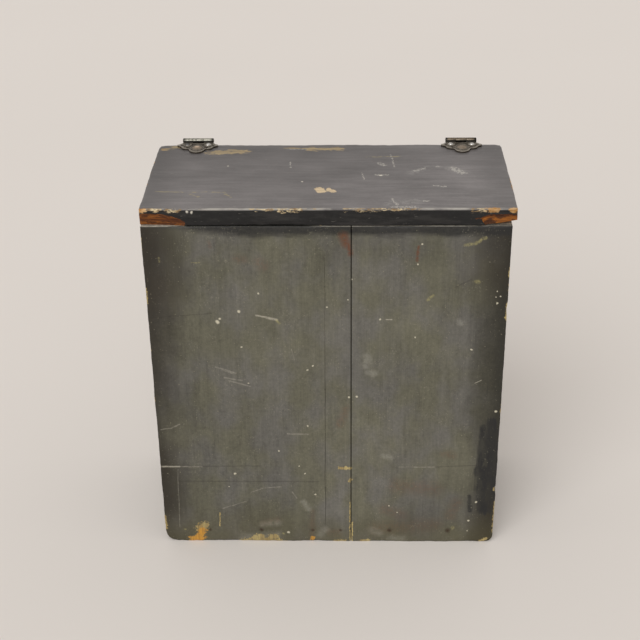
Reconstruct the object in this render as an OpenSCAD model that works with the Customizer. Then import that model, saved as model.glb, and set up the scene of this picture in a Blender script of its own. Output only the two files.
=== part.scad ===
// Antique grain bin: a tall, narrow nailed board box with a hinged lid.
// Millimetres. x runs to the viewer's right, y to the back and z up.
// Sizes are first laid out from the middle of the front face at the foot of the box.

/* [Box] */
// Width across the front boards
box_w = 406; // [380:1:460]
// Depth from the front face to the back face
box_d = 190; // [160:1:240]
// Height of the four walls
wall_h = 432; // [360:1:500]

/* [Front boards] */
// Thickness of the front boards
front_t = 16; // [12:0.5:20]
// Width of the left front board
front_left_w = 230; // [200:1:250]
// Width of the open seam between the front boards
front_seam = 1; // [0.4:0.1:3]
// Radius worn on the lower left corner of the front
left_corner_r = 16; // [4:0.5:24]
// Radius worn on the lower right corner of the front
right_corner_r = 11; // [4:0.5:24]

/* [Side boards] */
// Thickness of the side boards
side_t = 16; // [12:0.5:20]

/* [Back boards] */
// Thickness of the back boards
back_t = 16; // [14:0.5:20]
// Width of the left back board
back_left_w = 188; // [170:1:220]
// Width of the seam between the back boards
back_seam = 0.8; // [0.4:0.1:3]

/* [Bottom board] */
// Thickness of the bottom board
bottom_t = 19; // [12:0.5:24]
// Height of the bottom board's underside above the ground
bottom_raise = 7.5; // [2:0.5:20]

/* [Lid board] */
// How much wider than the box the lid is
lid_overhang = 5; // [0:0.5:12]
// Thickness of the lid
lid_t = 20.5; // [16:0.5:24]
// How far the lid sits to the right of the box
lid_shift = 2; // [-3:0.5:3]
// How far the lid's front edge lies behind the front face
lid_front_setback = 1; // [0:0.25:4]
// How far the lid's rear edge lies before the back face
lid_back_setback = 0.5; // [0.4:0.1:2]
// Width of the bevel along the lid's rear edge
lid_bevel_w = 15; // [5:0.5:20]
// Drop of that bevel
lid_bevel_drop = 0.6; // [0.4:0.1:1.4]

/* [Lid chips] */
// Length of the flake split off the lid's left front end
left_flake_w = 51; // [20:1:80]
// Height of that flake at the lid's end
left_flake_h = 15; // [6:0.5:16]
// Depth of that flake at the lid's lower edge
left_flake_d = 4; // [1:0.5:8]
// Length of the scoop split off the lid's right front end
right_scoop_w = 46; // [20:1:80]
// Height of that scoop at the lid's end
right_scoop_h = 9; // [4:0.5:12]
// Depth of that scoop at the lid's end
right_scoop_d = 1.6; // [0.5:0.1:3]
// Height of the scoop's middle above the lid's underside
right_scoop_z = 9; // [8:0.5:10]
// Length of the corner broken from under the lid's right front end
right_break_w = 43; // [20:1:80]
// Height of that break at the lid's end
right_break_h = 6.5; // [2:0.5:10]
// Depth of that break along the lid's end
right_break_d = 26; // [8:1:60]

/* [Hinges] */
// Distance of the left hinge's middle from the lid's left end
hinge_inset_left = 46.5; // [35:0.5:80]
// Distance of the right hinge's middle from the lid's right end
hinge_inset_right = 48; // [35:0.5:80]
// Thickness of a hinge leaf
leaf_t = 1.6; // [1.2:0.1:1.8]
// Width of a leaf from wing tip to wing tip
leaf_w = 49; // [46:0.5:60]
// Length of a leaf from the edge it starts at to the tip of its lobe
leaf_l = 30; // [28:0.5:40]
// Radius of the lobe at a leaf's tip
lobe_r = 9; // [8:0.25:11]
// Radius of the two shoulders of a leaf
shoulder_r = 6.5; // [5:0.25:7.5]
// Distance of a shoulder from the leaf's middle line
shoulder_x = 12.5; // [11:0.25:14]
// Distance of a shoulder from the edge that the leaf starts at
shoulder_y = 12.5; // [11:0.25:14]
// Radius of the two wing tips of a leaf
wing_r = 2.5; // [1.5:0.25:3]
// Distance of a wing tip from the edge that the leaf starts at
wing_y = 7.5; // [6:0.25:9]
// Height of the raised rim and the raised rosettes of a leaf
relief_h = 0.4; // [0.2:0.05:0.6]
// Width of the raised rim at the tip of the lobe
rim_w = 2.8; // [1.5:0.1:4]
// Diameter of the domed boss in the middle of a leaf
boss_d = 12; // [9:0.5:13]
// Height of the boss over the field of the leaf
boss_h = 2; // [1.2:0.1:2.2]
// Distance of the boss from the edge that the leaf starts at
boss_y = 15.5; // [14.5:0.25:17]
// Width of the groove round the boss
boss_groove_w = 0.9; // [0.5:0.1:1.2]
// Width of the raised ring round that groove
boss_ring_w = 1; // [0.6:0.1:1.4]
// Radius of the two holes pierced in a leaf
pierce_r = 1.4; // [1:0.1:1.6]
// Distance of a pierced hole from the leaf's middle line
pierce_x = 11.5; // [11:0.25:12.5]
// Distance of a pierced hole from the edge that the leaf starts at
pierce_y = 14.5; // [14:0.25:15.5]
// Radius of the rosette under each screw head
rosette_r = 5; // [4:0.25:6]
// Diameter of a hinge barrel
barrel_d = 6.2; // [5.8:0.1:6.2]
// Length of a hinge barrel
barrel_l = 36.4; // [32:0.2:40]
// Length of the middle knuckle, which belongs to the lid leaf
mid_knuckle_l = 12.4; // [10:0.2:16]
// Gap between neighbouring knuckles
knuckle_gap = 0.3; // [0.2:0.05:0.6]
// Depth of the notch in the back leaf under the middle knuckle, from the top of the lid
knuckle_notch = 1; // [0.6:0.1:3]
// Height of the hinge axis above the top of the lid
axis_up = 3.2; // [3.2:0.1:3.6]
// Distance of the hinge axis behind the back face
axis_back = 3.5; // [3.4:0.1:4]
// Diameter of a hinge pin
pin_d = 3; // [2.4:0.1:3]
// Diameter of the peened heads of a hinge pin
pin_head_d = 4.4; // [3.6:0.1:5.2]
// Thickness of those heads
pin_head_t = 0.4; // [0.3:0.1:1]
// Clearance round a hinge pin
pin_clear = 0.05; // [0.02:0.01:0.08]

/* [Screws] */
// Diameter of a screw head
screw_head_d = 6.4; // [5:0.2:7]
// Height of a screw head
screw_head_h = 1.7; // [1.2:0.1:1.7]
// Diameter of a screw shank
screw_d = 2.8; // [2:0.1:3.2]
// Length of a screw under its head
screw_l = 12; // [8:0.5:13]
// Width and depth of a screw's slot
screw_slot = 0.8; // [0.5:0.1:1]
// Distance of a leaf's two screws from its middle line
screw_x = 12.5; // [11:0.25:14]
// Distance of a leaf's two screws from the edge that it starts at
screw_y = 5.5; // [5:0.25:6]

/* [Nails] */
// Diameter of a nail head
nail_head_d = 6; // [4:0.5:8]
// Thickness of a nail head
nail_head_t = 1.2; // [0.8:0.1:2]
// Diameter of a nail shank
nail_d = 2.6; // [2:0.1:3.2]
// Length of a nail under its head
nail_l = 42; // [30:1:45]
// Length of a nail's point
nail_point_l = 4; // [2:0.5:6]
// Diameter of a nail at its blunt tip
nail_tip_d = 0.6; // [0.4:0.1:1]
// Depth of a nail head below the face of the board
nail_set = 0.3; // [0.1:0.1:1]
// Nails up each side of the front and of the back
side_nail_count = 5; // [2:1:8]
// Height of the lowest of them above the ground
side_nail_low = 55; // [40:1:90]
// Distance of the highest of them below the top of the walls
side_nail_high = 30; // [20:1:60]
// Distance of the first bottom nail from the outer edge of the front or the back
bottom_nail_outer = 56; // [50:1:70]
// Distance of the last evenly spaced bottom nail from the seam
bottom_nail_inner = 47; // [30:1:55]
// Evenly spaced bottom nails in a left board
left_bottom_nail_count = 3; // [2:1:5]
// Evenly spaced bottom nails in a right board
right_bottom_nail_count = 2; // [2:1:4]
// Distance of the extra bottom nail from the seam, in the left front board
seam_nail = 12.5; // [8:0.5:20]
// Nails through each side board into the bottom board
end_nail_count = 3; // [2:1:4]
// Distance of the outer ones of them from the front face and the back face
end_nail_inset = 55; // [50:1:65]

/* [Fits] */
// Clearance round nails and screws in their holes
fastener_clear = 0.05; // [0.02:0.01:0.1]
// Room left beyond the point of a nail or the end of a screw
hole_room = 0.5; // [0.2:0.1:2]

/* [Hidden] */
$fn = 64;

// Cuts reach this far past the faces that they open
past = 1;
// Facets of the large ball that shapes the flake
ball_fn = 180;

// Colours of the finishes
old_paint = [0.36, 0.35, 0.31];
lid_paint = [0.30, 0.30, 0.30];
bare_wood = [0.55, 0.42, 0.28];
dark_iron = [0.27, 0.24, 0.20];
rusty_iron = [0.30, 0.20, 0.14];

// Edges of the boards
left_face = -box_w / 2;
right_face = box_w / 2;
front_seam_left = left_face + front_left_w;
front_seam_right = front_seam_left + front_seam;
front_right_w = right_face - front_seam_right;
back_seam_left = left_face + back_left_w;
back_seam_right = back_seam_left + back_seam;
back_right_w = right_face - back_seam_right;
side_l = box_d - front_t - back_t;
bottom_w = box_w - 2 * side_t;
bottom_mid_z = bottom_raise + bottom_t / 2;

// Faces of the lid
lid_w = box_w + lid_overhang;
lid_left = lid_shift - lid_w / 2;
lid_right = lid_shift + lid_w / 2;
lid_front = lid_front_setback;
lid_rear = box_d - lid_back_setback;
lid_top = wall_h + lid_t;

// Hinge places
hinge_left_x = lid_left + hinge_inset_left;
hinge_right_x = lid_right - hinge_inset_right;
axis_y = box_d + axis_back;
axis_z = lid_top + axis_up;
outer_knuckle_l = (barrel_l - mid_knuckle_l) / 2 - knuckle_gap;
lobe_y = leaf_l - lobe_r;
wing_x = leaf_w / 2 - wing_r;
rim_share = 1 - rim_w / (leaf_l - shoulder_y);
screw_places = [[-screw_x, screw_y], [screw_x, screw_y]];

// Middle of the whole object's box, which the origin lies under
mid_x = (min(left_face, lid_left) + max(right_face, lid_right)) / 2;
mid_y = (axis_y + barrel_d / 2) / 2;

// Nail places
function spread(a, b, n) = [for (i = [0 : n - 1]) a + (b - a) * i / (n - 1)];
side_nail_z = spread(side_nail_low, wall_h - side_nail_high, side_nail_count);
side_nail_left_x = left_face + side_t / 2;
side_nail_right_x = right_face - side_t / 2;
front_bottom_left_x = concat(
    spread(left_face + bottom_nail_outer, front_seam_left - bottom_nail_inner, left_bottom_nail_count),
    [front_seam_left - seam_nail]);
front_bottom_right_x =
    spread(front_seam_right + bottom_nail_inner, right_face - bottom_nail_outer, right_bottom_nail_count);
back_bottom_left_x =
    spread(left_face + bottom_nail_outer, back_seam_left - bottom_nail_inner, left_bottom_nail_count);
back_bottom_right_x =
    spread(back_seam_right + bottom_nail_inner, right_face - bottom_nail_outer, right_bottom_nail_count);
end_nail_y = spread(end_nail_inset, box_d - end_nail_inset, end_nail_count);

// Moves the layout so that the origin is the middle of the object's footprint
module in_frame() {
    translate([-mid_x, -mid_y, 0]) children();
}

// Turns something that points along +z into the wood from each face
module into_front(x, z) {
    translate([x, 0, z]) rotate([-90, 0, 0]) children();
}

module into_back(x, z) {
    translate([x, box_d, z]) rotate([90, 0, 0]) children();
}

module into_left(y, z) {
    translate([left_face, y, z]) rotate([0, 90, 0]) children();
}

module into_right(y, z) {
    translate([right_face, y, z]) rotate([0, -90, 0]) children();
}

// One nail, its head just under the face at z = 0
module nail() {
    translate([0, 0, nail_set]) {
        cylinder(h = nail_head_t, d = nail_head_d);
        cylinder(h = nail_head_t + nail_l - nail_point_l, d = nail_d);
        translate([0, 0, nail_head_t + nail_l - nail_point_l])
            cylinder(h = nail_point_l, d1 = nail_d, d2 = nail_tip_d);
    }
}

module nail_hole() {
    translate([0, 0, -past]) {
        cylinder(h = past + nail_set + nail_head_t, d = nail_head_d + 2 * fastener_clear);
        cylinder(h = past + nail_set + nail_head_t + nail_l + hole_room, d = nail_d + 2 * fastener_clear);
    }
}

// The rows of nails, with a nail or a hole as the child
module front_side_row(x) {
    for (z = side_nail_z) into_front(x, z) children();
}

module back_side_row(x) {
    for (z = side_nail_z) into_back(x, z) children();
}

module front_bottom_row(places) {
    for (x = places) into_front(x, bottom_mid_z) children();
}

module back_bottom_row(places) {
    for (x = places) into_back(x, bottom_mid_z) children();
}

module left_end_row() {
    for (y = end_nail_y) into_left(y, bottom_mid_z) children();
}

module right_end_row() {
    for (y = end_nail_y) into_right(y, bottom_mid_z) children();
}

// Outline of a front board with its outer lower corner worn round, standing on y = 0
module worn_board_outline(w, h, r) {
    translate([0, r]) square([w, h - r]);
    translate([r, 0]) square([w - r, r]);
    translate([r, r]) circle(r = r);
}

// A board standing on its outline, with its face at y = 0
module upright(t) {
    translate([0, t, 0]) rotate([90, 0, 0]) linear_extrude(t) children();
}

module front_board_left() {
    color(old_paint) in_frame() difference() {
        translate([left_face, 0, 0]) upright(front_t) worn_board_outline(front_left_w, wall_h, left_corner_r);
        front_side_row(side_nail_left_x) nail_hole();
        front_bottom_row(front_bottom_left_x) nail_hole();
    }
}

module front_board_right() {
    color(old_paint) in_frame() difference() {
        translate([right_face, 0, 0]) upright(front_t)
            mirror([1, 0]) worn_board_outline(front_right_w, wall_h, right_corner_r);
        front_side_row(side_nail_right_x) nail_hole();
        front_bottom_row(front_bottom_right_x) nail_hole();
    }
}

module side_board_left() {
    color(old_paint) in_frame() difference() {
        translate([left_face, front_t, 0]) cube([side_t, side_l, wall_h]);
        front_side_row(side_nail_left_x) nail_hole();
        back_side_row(side_nail_left_x) nail_hole();
        left_end_row() nail_hole();
    }
}

module side_board_right() {
    color(old_paint) in_frame() difference() {
        translate([right_face - side_t, front_t, 0]) cube([side_t, side_l, wall_h]);
        front_side_row(side_nail_right_x) nail_hole();
        back_side_row(side_nail_right_x) nail_hole();
        right_end_row() nail_hole();
    }
}

module back_board_left() {
    color(old_paint) in_frame() difference() {
        translate([left_face, box_d - back_t, 0]) cube([back_left_w, back_t, wall_h]);
        back_side_row(side_nail_left_x) nail_hole();
        back_bottom_row(back_bottom_left_x) nail_hole();
        back_leaf_frame(hinge_left_x) screw_row() screw_hole();
    }
}

module back_board_right() {
    color(old_paint) in_frame() difference() {
        translate([back_seam_right, box_d - back_t, 0]) cube([back_right_w, back_t, wall_h]);
        back_side_row(side_nail_right_x) nail_hole();
        back_bottom_row(back_bottom_right_x) nail_hole();
        back_leaf_frame(hinge_right_x) screw_row() screw_hole();
    }
}

module bottom_board() {
    color(bare_wood) in_frame() difference() {
        translate([-bottom_w / 2, front_t, bottom_raise]) cube([bottom_w, side_l, bottom_t]);
        front_bottom_row(concat(front_bottom_left_x, front_bottom_right_x)) nail_hole();
        back_bottom_row(concat(back_bottom_left_x, back_bottom_right_x)) nail_hole();
        left_end_row() nail_hole();
        right_end_row() nail_hole();
    }
}

// The lid from its side: a slab whose rear top edge is bevelled
module lid_profile() {
    polygon([
        [lid_front, wall_h],
        [lid_rear, wall_h],
        [lid_rear, lid_top - lid_bevel_drop],
        [lid_rear - lid_bevel_w, lid_top],
        [lid_front, lid_top]
    ]);
}

// A ball that takes a flake off the lower front edge at the lid's left end.
// On the front face it cuts a circle with its middle below the lid's end.
module left_flake() {
    below = (pow(left_flake_w, 2) - pow(left_flake_h, 2)) / (2 * left_flake_h);
    face_r = below + left_flake_h;
    before = (pow(face_r, 2) - pow(below, 2) - pow(left_flake_d, 2)) / (2 * left_flake_d);
    translate([lid_left, lid_front - before, wall_h - below])
        sphere(r = norm([before, face_r]), $fn = ball_fn);
}

// A rod that dips into the front face towards the lid's right end
module right_scoop() {
    rod_r = (pow(right_scoop_h / 2, 2) + pow(right_scoop_d, 2)) / (2 * right_scoop_d);
    turn = atan(right_scoop_d / right_scoop_w);
    translate([lid_right - right_scoop_w, lid_front, wall_h + right_scoop_z])
        rotate([0, 0, turn])
            translate([-past, -rod_r, 0])
                rotate([0, 90, 0])
                    cylinder(h = 2 * right_scoop_w, r = rod_r);
}

// A slanted plane that takes the lower front corner off the lid's right end.
// It leaves the underside along a slanted line and rises from there to the corner.
module right_break() {
    turn = atan(right_break_d / right_break_w);
    dip = atan(right_break_h / (right_break_d * cos(turn)));
    size = right_break_w + right_break_d + right_break_h;
    translate([lid_right - right_break_w, lid_front, wall_h])
        rotate([0, 0, turn])
            rotate([-dip, 0, 0])
                translate([-size, -size, -size])
                    cube([3 * size, 2 * size, size]);
}

module lid_board() {
    color(lid_paint) in_frame() difference() {
        translate([lid_left, 0, 0]) rotate([90, 0, 90]) linear_extrude(lid_w) lid_profile();
        left_flake();
        right_scoop();
        right_break();
        lid_leaf_frame(hinge_left_x) screw_row() screw_hole();
        lid_leaf_frame(hinge_right_x) screw_row() screw_hole();
    }
}

// Local frames of the leaves: y runs along the leaf from the edge that it starts at, z out of the wood
module lid_leaf_frame(x) {
    translate([x, box_d, lid_top]) rotate([0, 0, 180]) children();
}

module back_leaf_frame(x) {
    translate([x, box_d, wall_h]) rotate([-90, 0, 0]) children();
}

// Flat outline of a leaf: lobe, shoulders and wing tips on a tapering web
module leaf_outline() {
    translate([0, lobe_y]) circle(r = lobe_r);
    for (s = [-1, 1]) {
        translate([s * shoulder_x, shoulder_y]) circle(r = shoulder_r);
        translate([s * wing_x, wing_y]) circle(r = wing_r);
    }
    polygon([
        [-barrel_l / 2, lid_back_setback],
        [barrel_l / 2, lid_back_setback],
        [wing_x, wing_y - wing_r],
        [wing_x, wing_y + wing_r],
        [lobe_r, lobe_y],
        [-lobe_r, lobe_y],
        [-wing_x, wing_y + wing_r],
        [-wing_x, wing_y - wing_r]
    ]);
}

// The field within the raised rim
module leaf_field() {
    translate([0, shoulder_y]) scale(rim_share) translate([0, -shoulder_y]) leaf_outline();
}

// The domed boss of a leaf, with a groove and a raised ring round it
module leaf_boss() {
    boss_r = boss_d / 2;
    dome_h = boss_h - relief_h;
    ball_r = (pow(boss_r, 2) + pow(dome_h, 2)) / (2 * dome_h);
    ring_r = boss_r + boss_groove_w;
    intersection() {
        translate([0, 0, leaf_t + boss_h - ball_r]) sphere(r = ball_r);
        cylinder(h = leaf_t + boss_h, r = boss_r);
    }
    difference() {
        cylinder(h = leaf_t + relief_h, r = ring_r + boss_ring_w);
        cylinder(h = leaf_t + relief_h + past, r = ring_r);
    }
}

// The ornamented plate of a leaf, with its screw holes and pierced holes
module leaf_plate() {
    difference() {
        union() {
            linear_extrude(leaf_t) leaf_outline();
            linear_extrude(leaf_t + relief_h) difference() {
                leaf_outline();
                leaf_field();
            }
            for (place = screw_places)
                translate(place) cylinder(h = leaf_t + relief_h, r = rosette_r);
            translate([0, boss_y, 0]) leaf_boss();
        }
        for (s = [-1, 1])
            translate([s * pierce_x, pierce_y, -past]) cylinder(h = leaf_t + 2 * past, r = pierce_r);
        screw_row() screw_hole();
    }
}

// Round bar along x on the hinge axis, given in a leaf's own frame
module on_axis(y, z, from, length, d) {
    translate([from, y, z]) rotate([0, 90, 0]) cylinder(h = length, d = d);
}

module lid_leaf(x) {
    lid_leaf_frame(x) difference() {
        union() {
            leaf_plate();
            on_axis(-axis_back, axis_up, -mid_knuckle_l / 2, mid_knuckle_l, barrel_d);
            translate([-mid_knuckle_l / 2, -axis_back, 0])
                cube([mid_knuckle_l, axis_back + wing_y, leaf_t]);
        }
        on_axis(-axis_back, axis_up, -barrel_l, 2 * barrel_l, pin_d + 2 * pin_clear);
    }
}

module back_leaf(x) {
    up_to_axis = lid_t + axis_up;
    back_leaf_frame(x) difference() {
        union() {
            leaf_plate();
            translate([-barrel_l / 2, knuckle_notch - lid_t, 0])
                cube([barrel_l, lid_t - knuckle_notch + wing_y, leaf_t]);
            for (from = [-barrel_l / 2, barrel_l / 2 - outer_knuckle_l]) {
                on_axis(-up_to_axis, axis_back, from, outer_knuckle_l, barrel_d);
                translate([from, -up_to_axis, 0]) cube([outer_knuckle_l, up_to_axis, leaf_t]);
            }
        }
        on_axis(-up_to_axis, axis_back, -barrel_l, 2 * barrel_l, pin_d + 2 * pin_clear);
        screw_row() screw_hole();
    }
}

module pin(x) {
    translate([x - barrel_l / 2, axis_y, axis_z]) rotate([0, 90, 0]) {
        cylinder(h = barrel_l, d = pin_d);
        translate([0, 0, -pin_head_t]) cylinder(h = pin_head_t, d = pin_head_d);
        translate([0, 0, barrel_l]) cylinder(h = pin_head_t, d = pin_head_d);
    }
}

// One round-headed wood screw, seated at z = 0 with its shank pointing down
module screw() {
    ball_r = (pow(screw_head_d / 2, 2) + pow(screw_head_h, 2)) / (2 * screw_head_h);
    difference() {
        intersection() {
            translate([0, 0, screw_head_h - ball_r]) sphere(r = ball_r);
            cylinder(h = screw_head_h, d = screw_head_d);
        }
        translate([-screw_head_d, -screw_slot / 2, screw_head_h - screw_slot])
            cube([2 * screw_head_d, screw_slot, screw_head_h]);
    }
    translate([0, 0, -screw_l]) cylinder(h = screw_l, d = screw_d);
}

module screw_hole() {
    translate([0, 0, -screw_l - hole_room])
        cylinder(h = screw_l + hole_room + past, d = screw_d + 2 * fastener_clear);
}

// The two screw places of a leaf, on top of its rosettes
module screw_row() {
    for (place = screw_places)
        translate([place[0], place[1], leaf_t + relief_h]) children();
}

module hinge_left_lid_leaf() {
    color(dark_iron) in_frame() lid_leaf(hinge_left_x);
}

module hinge_left_back_leaf() {
    color(dark_iron) in_frame() back_leaf(hinge_left_x);
}

module hinge_left_pin() {
    color(dark_iron) in_frame() pin(hinge_left_x);
}

module hinge_right_lid_leaf() {
    color(dark_iron) in_frame() lid_leaf(hinge_right_x);
}

module hinge_right_back_leaf() {
    color(dark_iron) in_frame() back_leaf(hinge_right_x);
}

module hinge_right_pin() {
    color(dark_iron) in_frame() pin(hinge_right_x);
}

module hinge_left_lid_screws() {
    color(rusty_iron) in_frame() lid_leaf_frame(hinge_left_x) screw_row() screw();
}

module hinge_left_back_screws() {
    color(rusty_iron) in_frame() back_leaf_frame(hinge_left_x) screw_row() screw();
}

module hinge_right_lid_screws() {
    color(rusty_iron) in_frame() lid_leaf_frame(hinge_right_x) screw_row() screw();
}

module hinge_right_back_screws() {
    color(rusty_iron) in_frame() back_leaf_frame(hinge_right_x) screw_row() screw();
}

module front_side_nails_left() {
    color(rusty_iron) in_frame() front_side_row(side_nail_left_x) nail();
}

module front_side_nails_right() {
    color(rusty_iron) in_frame() front_side_row(side_nail_right_x) nail();
}

module front_bottom_nails() {
    color(rusty_iron) in_frame() front_bottom_row(concat(front_bottom_left_x, front_bottom_right_x)) nail();
}

module back_side_nails_left() {
    color(rusty_iron) in_frame() back_side_row(side_nail_left_x) nail();
}

module back_side_nails_right() {
    color(rusty_iron) in_frame() back_side_row(side_nail_right_x) nail();
}

module back_bottom_nails() {
    color(rusty_iron) in_frame() back_bottom_row(concat(back_bottom_left_x, back_bottom_right_x)) nail();
}

module side_bottom_nails_left() {
    color(rusty_iron) in_frame() left_end_row() nail();
}

module side_bottom_nails_right() {
    color(rusty_iron) in_frame() right_end_row() nail();
}

front_board_left();
front_board_right();
side_board_left();
side_board_right();
back_board_left();
back_board_right();
bottom_board();
lid_board();
hinge_left_lid_leaf();
hinge_left_back_leaf();
hinge_left_pin();
hinge_right_lid_leaf();
hinge_right_back_leaf();
hinge_right_pin();
hinge_left_lid_screws();
hinge_left_back_screws();
hinge_right_lid_screws();
hinge_right_back_screws();
front_side_nails_left();
front_side_nails_right();
front_bottom_nails();
back_side_nails_left();
back_side_nails_right();
back_bottom_nails();
side_bottom_nails_left();
side_bottom_nails_right();
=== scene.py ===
# %% [markdown]
# # An antique grain bin
# The bin is a tall, narrow box of nailed boards with a flat lid on two ornamental iron hinges.
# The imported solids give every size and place. This lesson dresses them: worn boards with rounded
# arrises, splits and chips, softened iron, and finishes that are built from nodes alone.

# %% Load the frame and measure it
import math

import bmesh
import bpy
from mathutils import Matrix, Vector, noise


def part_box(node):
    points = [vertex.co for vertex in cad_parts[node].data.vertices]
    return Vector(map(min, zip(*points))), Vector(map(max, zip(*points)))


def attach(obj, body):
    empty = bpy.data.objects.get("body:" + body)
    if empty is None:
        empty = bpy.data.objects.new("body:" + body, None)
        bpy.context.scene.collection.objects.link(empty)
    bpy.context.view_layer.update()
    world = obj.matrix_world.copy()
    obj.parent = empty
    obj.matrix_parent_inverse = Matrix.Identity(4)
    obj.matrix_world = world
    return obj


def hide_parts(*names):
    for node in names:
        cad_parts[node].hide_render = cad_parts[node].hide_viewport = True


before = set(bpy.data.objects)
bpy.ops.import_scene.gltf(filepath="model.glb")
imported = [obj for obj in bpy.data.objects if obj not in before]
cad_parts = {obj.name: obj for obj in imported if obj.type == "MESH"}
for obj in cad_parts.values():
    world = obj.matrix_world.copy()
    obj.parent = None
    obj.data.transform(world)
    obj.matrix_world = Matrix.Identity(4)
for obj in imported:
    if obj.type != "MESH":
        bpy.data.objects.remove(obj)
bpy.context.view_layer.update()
MM = 0.001

front_left_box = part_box("front_board_left")
front_right_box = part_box("front_board_right")
lid_low, lid_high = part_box("lid_board")
front_y = front_left_box[0].y
back_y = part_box("back_board_left")[1].y
wall_top = front_left_box[1].z
bin_low = Vector((front_left_box[0].x, front_y, 0.0))
bin_high = Vector((front_right_box[1].x, back_y, wall_top))
mid_x = (bin_low.x + bin_high.x) / 2


# %% [markdown]
# ## Camera
# The camera stands a little to the right, about a metre and a half away, and looks down on the bin. It
# could be set by eye. Here its turn, tilt, roll and lens were chosen until the edges of the lid and of
# the front ran the right way, because small errors of the angle show first in such long straight edges.

# %% Camera
CAMERA_PLACE = (0.0245, -1.4019, 1.0409)
CAMERA_TURN = 1.503
CAMERA_TILT = 29.088
CAMERA_ROLL = -0.710
LENS = 74.25

camera = bpy.data.objects.new("camera", bpy.data.cameras.new("camera"))
camera.data.lens = LENS
camera.data.clip_end = 60
camera.matrix_world = (
    Matrix.Translation(CAMERA_PLACE)
    @ Matrix.Rotation(math.radians(CAMERA_TURN), 4, "Z")
    @ Matrix.Rotation(math.radians(90 - CAMERA_TILT), 4, "X")
    @ Matrix.Rotation(math.radians(CAMERA_ROLL), 4, "Z")
)
bpy.context.scene.collection.objects.link(camera)
bpy.context.scene.camera = camera
bpy.context.scene.view_settings.view_transform = "Standard"
print("camera looks down by", CAMERA_TILT, "degrees")


# %% [markdown]
# ## Finishes from nodes
# Every finish is a small tree of nodes that reads Object coordinates, so it stays put when the lid
# swings. The trees could be drawn in the shader editor. In a script, a short helper that adds nodes and
# feeds their inputs keeps long recipes readable. The recipes call their finish f, and they write colours
# as they look on a screen, to be turned into linear values.

# %% Helpers for node trees
def seen(colour):
    """Linear values of a colour that is written from 0 to 255; a node's output stays as it is."""
    def linear(v):
        v /= 255
        return v / 12.92 if v <= 0.04045 else ((v + 0.055) / 1.055) ** 2.4
    return (*map(linear, colour), 1.0) if isinstance(colour, tuple) else colour


class Nodes:
    """Adds nodes to a tree and feeds their inputs with values or with other nodes' outputs."""

    def __init__(self, tree):
        self.tree = tree

    def feed(self, socket, value):
        if isinstance(value, bpy.types.NodeSocket):
            self.tree.links.new(value, socket)
        elif value is not None:
            socket.default_value = value

    def add(self, kind, *inputs, **settings):
        node = self.tree.nodes.new(kind)
        for name, value in settings.items():
            setattr(node, name, value)
        for socket, value in zip(node.inputs, inputs):
            self.feed(socket, value)
        return node

    def math(self, operation, a, *others):
        """One value, or several that are joined two at a time."""
        if not others:
            return self.add("ShaderNodeMath", a, operation=operation).outputs[0]
        for b in others:
            a = self.add("ShaderNodeMath", a, b, operation=operation).outputs[0]
        return a

    def plus(self, *values):
        return self.math("ADD", *values)

    def minus(self, a, b):
        return self.math("SUBTRACT", a, b)

    def times(self, *values):
        return self.math("MULTIPLY", *values)

    def most(self, *values):
        return self.math("MAXIMUM", *values) if len(values) > 1 else values[0]

    def vector(self, operation, a, b=None):
        return self.add("ShaderNodeVectorMath", a, b, operation=operation).outputs

    def scaled(self, vector, share):
        """A vector, or a colour that is written from 0 to 255, times a share."""
        vector = seen(vector)[:3] if isinstance(vector, tuple) else vector
        return self.add("ShaderNodeVectorMath", vector, None, None, share, operation="SCALE").outputs[0]

    def rise(self, value, start, end):
        """0 before start and 1 after end, with a smooth step between."""
        return self.add("ShaderNodeMapRange", value, start, end, interpolation_type="SMOOTHSTEP").outputs[0]

    def mix(self, share, a, b):
        """Colour a where the share is 0, and colour b where it is 1."""
        node = self.add("ShaderNodeMix", share, data_type="RGBA")
        self.feed(node.inputs[6], seen(a))
        self.feed(node.inputs[7], seen(b))
        return node.outputs[2]

    def lay(self, colour, *layers):
        """Lays further colours over one, each given as its share, an amount and the colour."""
        for share, amount, over in layers:
            colour = self.mix(self.times(share, amount), colour, over)
        return colour


# %% [markdown]
# ## Marks and finishes
# A chip, a speck or a scratch is a short stroke on the paint. It could be cut into the mesh or painted
# into an image. Here a node group measures how far a place lies from a line, which stays sharp from near
# and far. A finish then has a few words of its own: soft noise, ragged outlines, marks, and broken rims.

# %% A node group for one mark
mark_tree = bpy.data.node_groups.new("mark", "ShaderNodeTree")
for socket_name in ("Place", "Start", "End"):
    mark_tree.interface.new_socket(socket_name, in_out="INPUT", socket_type="NodeSocketVector")
for socket_name in ("Width", "Soft"):
    mark_tree.interface.new_socket(socket_name, in_out="INPUT", socket_type="NodeSocketFloat")
mark_tree.interface.new_socket("Share", in_out="OUTPUT", socket_type="NodeSocketFloat")
mark = Nodes(mark_tree)
place_in, start_in, end_in, width_in, soft_in = mark.add("NodeGroupInput").outputs[:5]
line = mark.vector("SUBTRACT", end_in, start_in)[0]
reach = mark.vector("SUBTRACT", place_in, start_in)[0]
along = mark.vector("DOT_PRODUCT", reach, line)[1]
along = mark.math("DIVIDE", along, mark.vector("DOT_PRODUCT", line, line)[1])
along = mark.add("ShaderNodeClamp", along).outputs[0]
away = mark.vector("LENGTH", mark.vector("SUBTRACT", reach, mark.scaled(line, along))[0])[1]
mark.add("NodeGroupOutput", mark.rise(away, width_in, mark.times(width_in, mark.minus(1.0, soft_in))))
print("node group for marks:", len(mark_tree.nodes), "nodes")


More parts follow.
